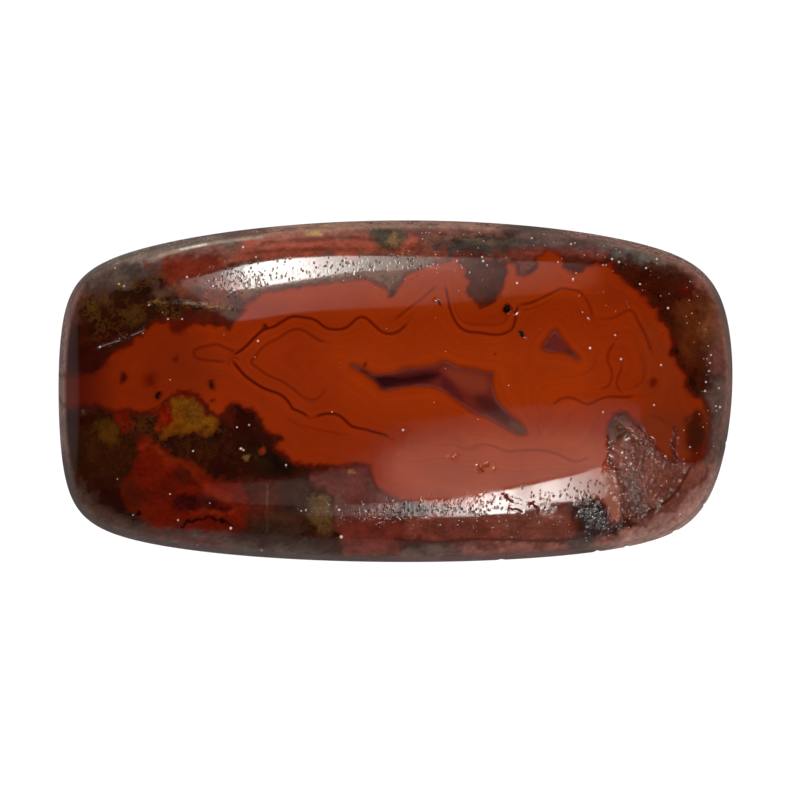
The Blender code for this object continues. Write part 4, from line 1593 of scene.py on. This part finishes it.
    def body(self) -> Socket:
        """Colour the orange-red agate: faint uneven bands, and dark growth lines with pale sides.

        Returns:
            The colour.
        """
        add = self.graph.add
        place = self.millimetres()
        drift = add("Math", (add("TexNoise", self.band_drift.at(place))[0], 0.5), **MINUS)[0]
        count = add("Attribute", attribute_name="band_phase")["Fac"]
        phase = add("Math", (drift, self.band_drift_reach, count), **TIMES_PLUS)[0]
        broad, thin = (
            add("TexNoise", {"W": phase, "Scale": scale, "Detail": self.band_detail}, **ALONG_A_LINE)[0]
            for scale in (self.broad_bands, self.thin_bands)
        )
        broad = add("MapRange", (broad, *self.clouds.span, *self.broad_tones), **SMOOTH)[0]
        across = add("SeparateXYZ", (place,))["X"]
        fading = (across, self.thin_faded_at, self.thin_clear_at, self.thin_faded, 1.0)
        shown = add("MapRange", fading, **SMOOTH)[0]
        thin = add("Math", (thin, 0.5), **MINUS)[0]
        thin = add("Math", (thin, shown), **TIMES)[0]
        light = add("Math", (thin, self.thin_strength, broad), **TIMES_PLUS)[0]
        cloud = self.uneven(place, self.clouds)
        light = add("Math", (light, cloud), **TIMES)[0]
        cores = []
        for name in ("outer", "inner"):
            side = add("Attribute", attribute_name=f"{name}_side")["Fac"]
            away = add("Math", (side,), operation="ABSOLUTE")[0]
            strength = add("Attribute", attribute_name=f"{name}_strength")["Fac"]
            strength = add("Math", (strength, self.line_strength), **TIMES)[0]
            pale = add("MapRange", (away, *self.line_side), **SMOOTH)[0]
            pale = add("Math", (pale, strength), **TIMES)[0]
            light = add("Math", (pale, self.line_side_light, light), **TIMES_PLUS)[0]
            core = add("MapRange", (away, *self.line_core, 1.0, 0.0), **SMOOTH)[0]
            cores.append(add("Math", (core, strength), **TIMES)[0])
        core = add("Math", tuple(cores), operation="MAXIMUM")[0]
        colour = self.shaded("body_colour", light)
        return add("Mix", {0: core, 6: colour, 7: rgba(self.growth_line)}, **BLEND)[2]

    def matrix(self) -> Socket:
        """Colour the dark mossy matrix: mottled, with brown veins and with gold and black lace.

        Returns:
            The colour.
        """
        add = self.graph.add
        place = self.millimetres()
        mottle, speckle = (self.uneven(place, grain) for grain in (self.mottle, self.speckle))
        light = add("Math", (mottle, speckle), **TIMES)[0]
        colour = self.shaded("matrix_colour", light)
        veins = self.uneven(place, self.veins)
        veins = add("Math", (veins, self.vein_strength), **TIMES)[0]
        colour = add("Mix", {0: veins, 6: colour, 7: rgba(self.vein_brown)}, **BLEND)[2]
        cloud = self.uneven(place, self.brown_clouds)
        colour = add("Mix", {0: cloud, 6: colour, 7: rgba(self.cloud_brown)}, **BLEND)[2]
        lace = add("Attribute", attribute_name="lace")["Fac"]
        for grain, tone in ((self.gold_threads, self.gold_lace), (self.black_threads, self.black_lace)):
            ridge = add("Math", (add("TexNoise", grain.at(place))[0], 0.5), **MINUS)[0]
            ridge = add("Math", (ridge,), operation="ABSOLUTE")[0]
            ridge = add("MapRange", (ridge, *grain.span, *grain.tones), **SMOOTH)[0]
            ridge = add("Math", (ridge, lace), **TIMES)[0]
            colour = add("Mix", {0: ridge, 6: colour, 7: rgba(tone)}, **BLEND)[2]
        return colour

    def add_painted_glints(self, colour: Socket) -> Socket:
        """Lay over painted highlights: pale specks where fine pits glint, thickest in crumbly parts.

        Args:
            colour: The colour below.

        Returns:
            The colour.
        """
        add = self.graph.add
        sparkling = add("Attribute", attribute_name="sparkling")["Fac"]
        polished = add("Attribute", attribute_name="polished")["Fac"]
        for size in self.glint_specks:
            cell = add("TexVoronoi", {"Vector": self.millimetres(), "Scale": size.per_mm})
            pick = add("SeparateColor", (cell["Color"],))
            chance = add("MapRange", (sparkling, 0.0, 1.0, size.clean, size.pitted), **SMOOTH)[0]
            shown = add("Math", (pick[1], chance), operation="GREATER_THAN")[0]
            edge = (self.glint_heart * size.radius, size.radius)
            speck = add("MapRange", (cell["Distance"], *edge, 1.0, 0.0), **SMOOTH)[0]
            light = add("MapRange", (pick[2], 0.0, 1.0, self.glint_faintest, 1.0), **SMOOTH)[0]
            for share in (light, shown, polished):
                speck = add("Math", (speck, share), **TIMES)[0]
            colour = add("Mix", {0: speck, 6: colour, 7: rgba(GLINT_COLOUR)}, **BLEND)[2]
        return colour

    def contact(self, matrix: Socket, body: Socket) -> Socket:
        """Join the matrix and the banded agate along an edge with a thin saturated red skin.

        Args:
            matrix: The matrix's colour.
            body: The banded agate's colour.

        Returns:
            The colour.
        """
        add = self.graph.add
        fray = add("TexNoise", self.contact_fray.at(self.millimetres()))[0]
        fray = add("Math", (fray, 0.5), **MINUS)[0]
        depth = add("Attribute", attribute_name="body_depth")["Fac"]
        depth = add("Math", (fray, self.contact_fray_reach, depth), **TIMES_PLUS)[0]
        within = add("MapRange", (depth, *self.contact_edge), **SMOOTH)[0]
        colour = add("Mix", {0: within, 6: matrix, 7: body}, **BLEND)[2]
        skin = self.skin(depth, self.contact_outside, self.contact_inside)
        skin = add("Math", (skin, self.contact_strength), **TIMES)[0]
        return add("Mix", {0: skin, 6: colour, 7: rgba(self.contact_red)}, **BLEND)[2]

    def quartz(self, colour: Socket) -> Socket:
        """Lay over the violet quartz, dark where it is deep, under a thin grey-violet skin.

        Args:
            colour: The colour around it.

        Returns:
            The colour.
        """
        add = self.graph.add
        depth = add("Attribute", attribute_name="quartz_depth")["Fac"]
        around = add("MapRange", (depth, *self.quartz_around), **SMOOTH)[0]
        around = add("Math", (around, self.quartz_around_strength), **TIMES)[0]
        colour = add("Mix", {0: around, 6: colour, 7: rgba(self.quartz_halo)}, **BLEND)[2]
        within = add("MapRange", (depth, *self.quartz_edge), **SMOOTH)[0]
        heart = add("Attribute", attribute_name="quartz_colour")["Color"]
        colour = add("Mix", {0: within, 6: colour, 7: heart}, **BLEND)[2]
        skin = self.skin(depth, self.quartz_skin_outside, self.quartz_skin_inside)
        uneven = self.uneven(self.millimetres(), self.quartz_skin)
        skin = add("Math", (skin, uneven), **TIMES)[0]
        return add("Mix", {0: skin, 6: colour, 7: rgba(self.quartz_rim)}, **BLEND)[2]

    def roughness(self) -> Socket:
        """Give a wet-looking polish, dull in the undercut parts and satin on the back.

        Returns:
            The roughness.
        """
        rub = self.uneven(self.millimetres(), self.rub)
        rough = self.graph.add("Math", (rub, self.polish), operation="ADD")[0]
        for name, dull in (("undercut", self.undercut_dull), ("lapped", self.back_dull)):
            share = self.graph.add("Attribute", attribute_name=name)["Fac"]
            rough = self.graph.add("Math", (share, dull, rough), **TIMES_PLUS)[0]
        return rough

    def pits(self, size: Scatter) -> Socket:
        """Scatter open pits, slanted as the stone was drawn over the lap.

        Args:
            size: How many they are and how large.

        Returns:
            1 in the pits' hearts and 0 between them.
        """
        add = self.graph.add
        slanted = self.millimetres(self.lap_stretch, self.lap_turn)
        cell = add("TexVoronoi", {"Vector": slanted, "Scale": size.per_mm})
        pitted = add("Attribute", attribute_name="pitted")["Fac"]
        threshold = add("MapRange", (pitted, 0.0, 1.0, size.clean, size.pitted), **SMOOTH)[0]
        chance = add("SeparateColor", (cell["Color"],))[0]
        radius = add("Math", (chance, threshold), **MINUS)[0]
        radius = add("Math", (radius, self.pit_growth), **TIMES)[0]
        radius = add("Math", (radius, LEAST_PIT), operation="MAXIMUM")[0]
        radius = add("Math", (radius, size.radius), operation="MINIMUM")[0]
        share = add("Math", (cell["Distance"], radius), operation="DIVIDE")[0]
        return add("MapRange", (share, self.pit_heart, 1.0, 1.0, 0.0), **SMOOTH)[0]

    def relief(self, fine: Socket, coarse: Socket) -> Socket:
        """Dent the polish by the pits, which break up the highlights, and by crumbs where it is undercut.

        Args:
            fine: The fine pits.
            coarse: The coarse pits.

        Returns:
            The surface's normal.
        """
        add = self.graph.add
        slanted = self.millimetres(self.lap_stretch, self.lap_turn)
        pitted = add("Attribute", attribute_name="pitted")["Fac"]
        height = add("Math", (fine, -self.fine_pits.deep), **TIMES)[0]
        height = add("Math", (coarse, -self.coarse_pits.deep, height), **TIMES_PLUS)[0]
        worms = self.uneven(slanted, self.worms)
        deep = add("MapRange", (pitted, *self.worms_in_pitted), **SMOOTH)[0]
        height = add("Math", (worms, deep, height), **TIMES_PLUS)[0]
        ripple = add("TexNoise", self.ripple.at(slanted))[0]
        ripple = add("Math", (ripple, self.ripple_deep), **TIMES)[0]
        shown = add("MapRange", (pitted, *self.ripple_in_pitted), **SMOOTH)[0]
        height = add("Math", (ripple, shown, height), **TIMES_PLUS)[0]
        crumbs = add("TexNoise", self.crumbs.at(self.millimetres()))[0]
        crumbs = add("Math", (crumbs, self.crumb_deep), **TIMES)[0]
        undercut = add("Attribute", attribute_name="undercut")["Fac"]
        height = add("Math", (crumbs, undercut, height), **TIMES_PLUS)[0]
        return add("Bump", {"Strength": 1.0, "Distance": MM, "Height": height})[0]


@dataclass(frozen=True)
class Mirror:
    """The unflawed dome, in which the photo shows the lights."""

    form: Cushion = field(default_factory=Cushion)
    step: float = 0.02
    rounds: int = 20

    def places(self, photo: np.ndarray) -> np.ndarray:
        """Return the places on the dome that are seen at pixels of the photo.

        Args:
            photo: Rows of pixels.

        Returns:
            Rows of x, y and z in millimetres.
        """
        height = np.full(len(photo), self.form.wall_top)
        for _ in range(self.rounds):
            scale = PHOTO_SCALE * (1.0 - height / CAMERA_PLACE[2])
            x = CAMERA_PLACE[0] + (photo[:, 0] - PHOTO_MIDDLE[0]) * scale
            y = CAMERA_PLACE[1] - (photo[:, 1] - PHOTO_MIDDLE[1]) * scale
            height = self.form.crown(x, y)
        return np.column_stack([x, y, height])

    def rays(self, places: np.ndarray) -> np.ndarray:
        """Return which way the camera's view leaves the dome.

        Args:
            places: Rows of x, y and z on the dome.

        Returns:
            Rows of unit vectors.
        """
        x, y, _ = places.T
        crown, step = self.form.crown, self.step
        slope_x = (crown(x + step, y) - crown(x - step, y)) / (2.0 * step)
        slope_y = (crown(x, y + step) - crown(x, y - step)) / (2.0 * step)
        normal = np.column_stack([-slope_x, -slope_y, np.ones(len(x))])
        normal /= np.linalg.norm(normal, axis=1)[:, None]
        view = np.array(CAMERA_PLACE) - places
        view /= np.linalg.norm(view, axis=1)[:, None]
        return 2.0 * np.einsum("ij,ij->i", normal, view)[:, None] * normal - view


@dataclass(frozen=True)
class Lamp:
    """A glowing sheet around the stone that the camera doesn't see, square to its way to the stone."""

    name: str
    azimuth: float
    elevation: float
    distance: float

    def way(self) -> np.ndarray:
        """Return the way from the stone to the lamp.

        Returns:
            A unit vector.
        """
        turn, rise = math.radians(self.azimuth), math.radians(self.elevation)
        flat = math.cos(rise)
        return np.array([flat * math.cos(turn), flat * math.sin(turn), math.sin(rise)])

    def sheet(self, spots: np.ndarray, glow: np.ndarray, mirrored: bool) -> bpy.types.Object:
        """Make the sheet.

        Args:
            spots: Its points in millimetres, in rows and columns.
            glow: How bright each is.
            mirrored: Whether the stone's gloss shows it.

        Returns:
            The sheet's object.
        """
        tall, wide, _ = spots.shape
        faces = [
            (at, at + 1, at + wide + 1, at + wide)
            for row in range(tall - 1)
            for at in range(row * wide, row * wide + wide - 1)
        ]
        data = bpy.data.meshes.new(self.name)
        data.from_pydata([tuple(spot) for spot in spots.reshape(-1, 3) * MM], [], faces)
        layer = data.attributes.new("glow", "FLOAT", "POINT")
        layer.data.foreach_set("value", glow.ravel().astype(np.float32))
        data.materials.append(self.light())
        sheet = bpy.data.objects.new(self.name, data)
        bpy.context.scene.collection.objects.link(sheet)
        sheet.visible_camera = False
        sheet.visible_glossy = mirrored
        return sheet

    def light(self) -> bpy.types.Material:
        """Make a light as strong at each place as the sheet's glow field says.

        Returns:
            The node material.
        """
        material = bpy.data.materials.new(f"{self.name} light")
        graph = Graph(material)
        glow = graph.add("Attribute", attribute_name="glow")["Fac"]
        light = graph.add("Emission", {"Color": rgba(LAMP_WHITE), "Strength": glow})[0]
        graph.add("OutputMaterial", {"Surface": light})
        return material


@dataclass(frozen=True)
class Softbox(Lamp):
    """A lamp shaped so that its reflection in the dome lies where the photo shows it.

    A column is (x, upper, lower, glow, glow): a place across the photo, the reflection's upper and
    lower edge there, and how bright it is at each.
    """

    columns: tuple
    rows: int = 8
    steps: int = 3

    def build(self) -> bpy.types.Object:
        """Make the lamp by sending its reflection's places out to its sheet.

        Returns:
            The sheet's object.
        """
        columns = np.array(self.columns, dtype=float)
        at = np.linspace(0.0, len(columns) - 1.0, self.steps * (len(columns) - 1) + 1)
        numbers = range(len(columns))
        across, upper, lower, first, last = (np.interp(at, numbers, part) for part in columns.T)
        share = np.linspace(0.0, 1.0, self.rows + 1)[:, None]
        down = upper * (1.0 - share) + lower * share
        glow = first * (1.0 - share) + last * share
        mirror = Mirror()
        photo = np.column_stack([np.tile(across, self.rows + 1), down.ravel()])
        places = mirror.places(photo)
        rays = mirror.rays(places)
        way = self.way()
        reach = (self.distance - places @ way) / (rays @ way)
        spots = places + reach[:, None] * rays
        return self.sheet(spots.reshape(*down.shape, 3), glow, True)


@dataclass(frozen=True)
class Fill(Lamp):
    """A wide even lamp that brightens the stone without showing in its gloss."""

    wide: float
    high: float
    glow: float

    def build(self) -> bpy.types.Object:
        """Make the lamp's rectangle.

        Returns:
            The sheet's object.
        """
        way = self.way()
        right = np.cross([0.0, 0.0, 1.0], way)
        right *= self.wide / 2.0 / np.linalg.norm(right)
        above = np.cross(way, right)
        above *= self.high / 2.0 / np.linalg.norm(above)
        middle = way * self.distance
        spots = np.array([[middle + x * right + y * above for x in (-1.0, 1.0)] for y in (-1.0, 1.0)])
        return self.sheet(spots, np.full((2, 2), self.glow), False)


@dataclass
class Studio:
    """A white table, softboxes above and below the stone in the photo, and the camera over it."""

    lamps: tuple = (
        Softbox("top key", 93.0, 28.0, 450.0, (
            (180, 281, 285, 1, 1), (200, 277, 288, 2, 2), (219, 272, 290.5, 3, 3.5),
            (233, 269, 290.5, 8, 7.5), (250, 265, 289, 25, 19), (265, 262.5, 286.5, 30, 25),
            (282, 260, 283.5, 27, 26), (300, 258.5, 280.5, 22, 25), (320, 257.5, 277.5, 13, 17),
            (340, 256.5, 274, 9, 12), (362, 256.5, 271.5, 6, 6.5), (400, 257, 270, 3.2, 3),
            (440, 257.5, 270, 1.7, 1.5), (480, 258, 269, 0.9, 0.8), (510, 258.5, 268, 0.6, 0.4))),
        Softbox("top wash", 93.0, 28.0, 460.0, (
            (180, 283, 285, 1.2, 1.2), (200, 280, 299, 1.2, 1.1), (220, 278, 314, 1.3, 1.1),
            (234, 276, 322, 1.3, 1.1), (260, 270, 319, 1.4, 1.1), (294, 265, 313, 1.4, 1.0),
            (340, 262, 310, 1.4, 0.7), (380, 262, 308, 1.4, 0.6), (420, 262, 306, 1.3, 0.5),
            (460, 262, 302, 1.2, 0.4), (500, 262, 298, 1.0, 0.3), (540, 262, 294, 0.8, 0.3),
            (580, 264, 288, 0.5, 0.2), (600, 266, 286, 0.2, 0.1))),
        Softbox("low key", -82.0, 38.0, 450.0, (
            (300, 507, 516.5, 0.3, 0.3), (340, 506, 516.5, 0.6, 0.6), (375, 505, 517, 1.2, 1.2),
            (395, 503, 517, 2.4, 2.6), (430, 501.5, 517.5, 4.6, 5), (464, 500, 517, 11, 11),
            (490, 494, 515, 21, 22), (505, 491.5, 514, 26, 28), (521, 488, 511.5, 9, 13),
            (535, 485, 508, 13, 19), (548, 482, 503, 16, 22), (575, 476, 501.5, 8, 11),
            (597, 468.5, 500, 5, 5), (607, 465, 498, 4, 2))),
        Softbox("low wash", -62.0, 55.0, 600.0, (
            (376, 500, 503, 1, 1), (380, 456, 501, 0.9, 1.1), (395, 444, 501, 0.7, 1.1),
            (406, 433, 501, 0.5, 1.1), (424, 423, 499, 0.4, 1.1), (447, 419, 498, 0.3, 1.2),
            (487, 412, 491, 0.3, 1.1), (527, 406, 483, 0.2, 1.1), (570, 403, 474, 0.15, 1.1),
            (607, 400, 465, 0.15, 1.3), (620, 400, 463, 0.2, 1.2), (640, 405, 456, 0.2, 0.8))),
        Softbox("left haze", -96.0, 45.0, 450.0, (
            (200, 484, 500, 0.05, 0.05), (245, 484, 504, 0.25, 0.25), (300, 480, 507, 0.3, 0.3),
            (345, 470, 511, 0.35, 0.35))),
        Fill("top fill", 93.0, 28.0, 500.0, 400.0, 240.0, 3.0),
        Fill("low fill", -80.0, 30.0, 500.0, 400.0, 240.0, 1.3),
        Fill("left fill", 180.0, 15.0, 500.0, 400.0, 200.0, 1.3),
        Fill("right fill", 0.0, 15.0, 500.0, 400.0, 200.0, 1.5),
        Fill("overhead fill", 0.0, 89.9, 600.0, 600.0, 600.0, 1.1),
    )
    table_size: float = 3000.0
    table_seen: float = 1.05
    table_lighting: float = 0.8
    table_mirrored: float = 0.24
    table_shaded: float = 0.1
    shadow_width: float = 8.0
    room: float = 0.008
    horizon: tuple = (0.05, 0.11)
    nearest_seen: float = 0.01

    def build(self) -> None:
        """Add the table, lights, surroundings and camera."""
        parts = [self.table(), *(lamp.build() for lamp in self.lamps)]
        self.surroundings()
        self.camera()

    def table(self) -> bpy.types.Object:
        """Add the table: seen white, as in a photo cut out on white, but mirrored in the stone as grey.

        Returns:
            The table's object.
        """
        bpy.ops.object.select_all(action="DESELECT")
        bpy.ops.mesh.primitive_plane_add(size=self.table_size * MM)
        table = bpy.context.object
        table.name = "white table"
        # White card that the camera sees glowing evenly: no edge, shadow or colour of its own beside the
        # stone.
        material = bpy.data.materials.new("white table")
        add = Graph(material).add
        ray = add("LightPath")
        white = add("Emission", {"Strength": self.table_seen})[0]
        # Painted shadow: as mirrored in the stone, the card dims near the stone.
        place = add("SeparateXYZ", (add("TexCoord")["Object"],))
        away = []
        for along, half in zip(place[:2], (LENGTH / 2.0 * MM, LENGTH / 4.0 * MM)):
            reach = add("Math", (along,), operation="ABSOLUTE")[0]
            away.append(add("Math", (reach, half), **MINUS)[0])
        away = add("Math", tuple(away), operation="MAXIMUM")[0]
        shade = (away, 0.0, self.shadow_width * MM, self.table_shaded, self.table_mirrored)
        glow = add("MapRange", shade, **SMOOTH)[0]
        glow = add("Mix", {0: ray["Is Diffuse Ray"], 2: glow, 3: self.table_lighting})[0]
        card = add("Emission", {"Color": rgba("#FFFFFF"), "Strength": glow})[0]
        both = add("MixShader", (ray["Is Camera Ray"], card, white))[0]
        add("OutputMaterial", {"Surface": both})
        table.data.materials.append(material)
        return table

    def surroundings(self) -> None:
        """Light the room faintly overhead, with a pale strip along the table's horizon."""
        world = bpy.data.worlds.new("room")
        bpy.context.scene.world = world
        add = Graph(world).add
        height = add("SeparateXYZ", (add("TexCoord")["Generated"],))["Z"]
        glow = add("MapRange", (height, *self.horizon, self.table_mirrored, self.room))[0]
        add("OutputWorld", {"Surface": add("Background", {"Strength": glow})[0]})

    def camera(self) -> None:
        """Look straight down on the stone, framed as in the photo."""
        data = bpy.data.cameras.new("overhead")
        data.lens = CAMERA_LENS
        data.sensor_width = CAMERA_SENSOR
        data.clip_start = self.nearest_seen
        camera = bpy.data.objects.new("overhead", data)
        camera.location = Vector(CAMERA_PLACE) * MM
        bpy.context.scene.collection.objects.link(camera)
        bpy.context.scene.camera = camera
        bpy.context.scene.view_settings.view_transform = "Standard"


def main() -> None:
    """Build the stone and its studio."""
    logging.basicConfig(level=logging.INFO, format="%(message)s")
    piece = Stone().build()
    logging.info("%s: %d triangles", piece.name, len(piece.data.loops) - 2 * len(piece.data.polygons))
    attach(piece, "root")
    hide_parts(NODE)
    studio = Studio()
    studio.build()
    logging.info("studio: %d lamps, a table and a camera", len(studio.lamps))


if __name__ == "__main__":
    main()
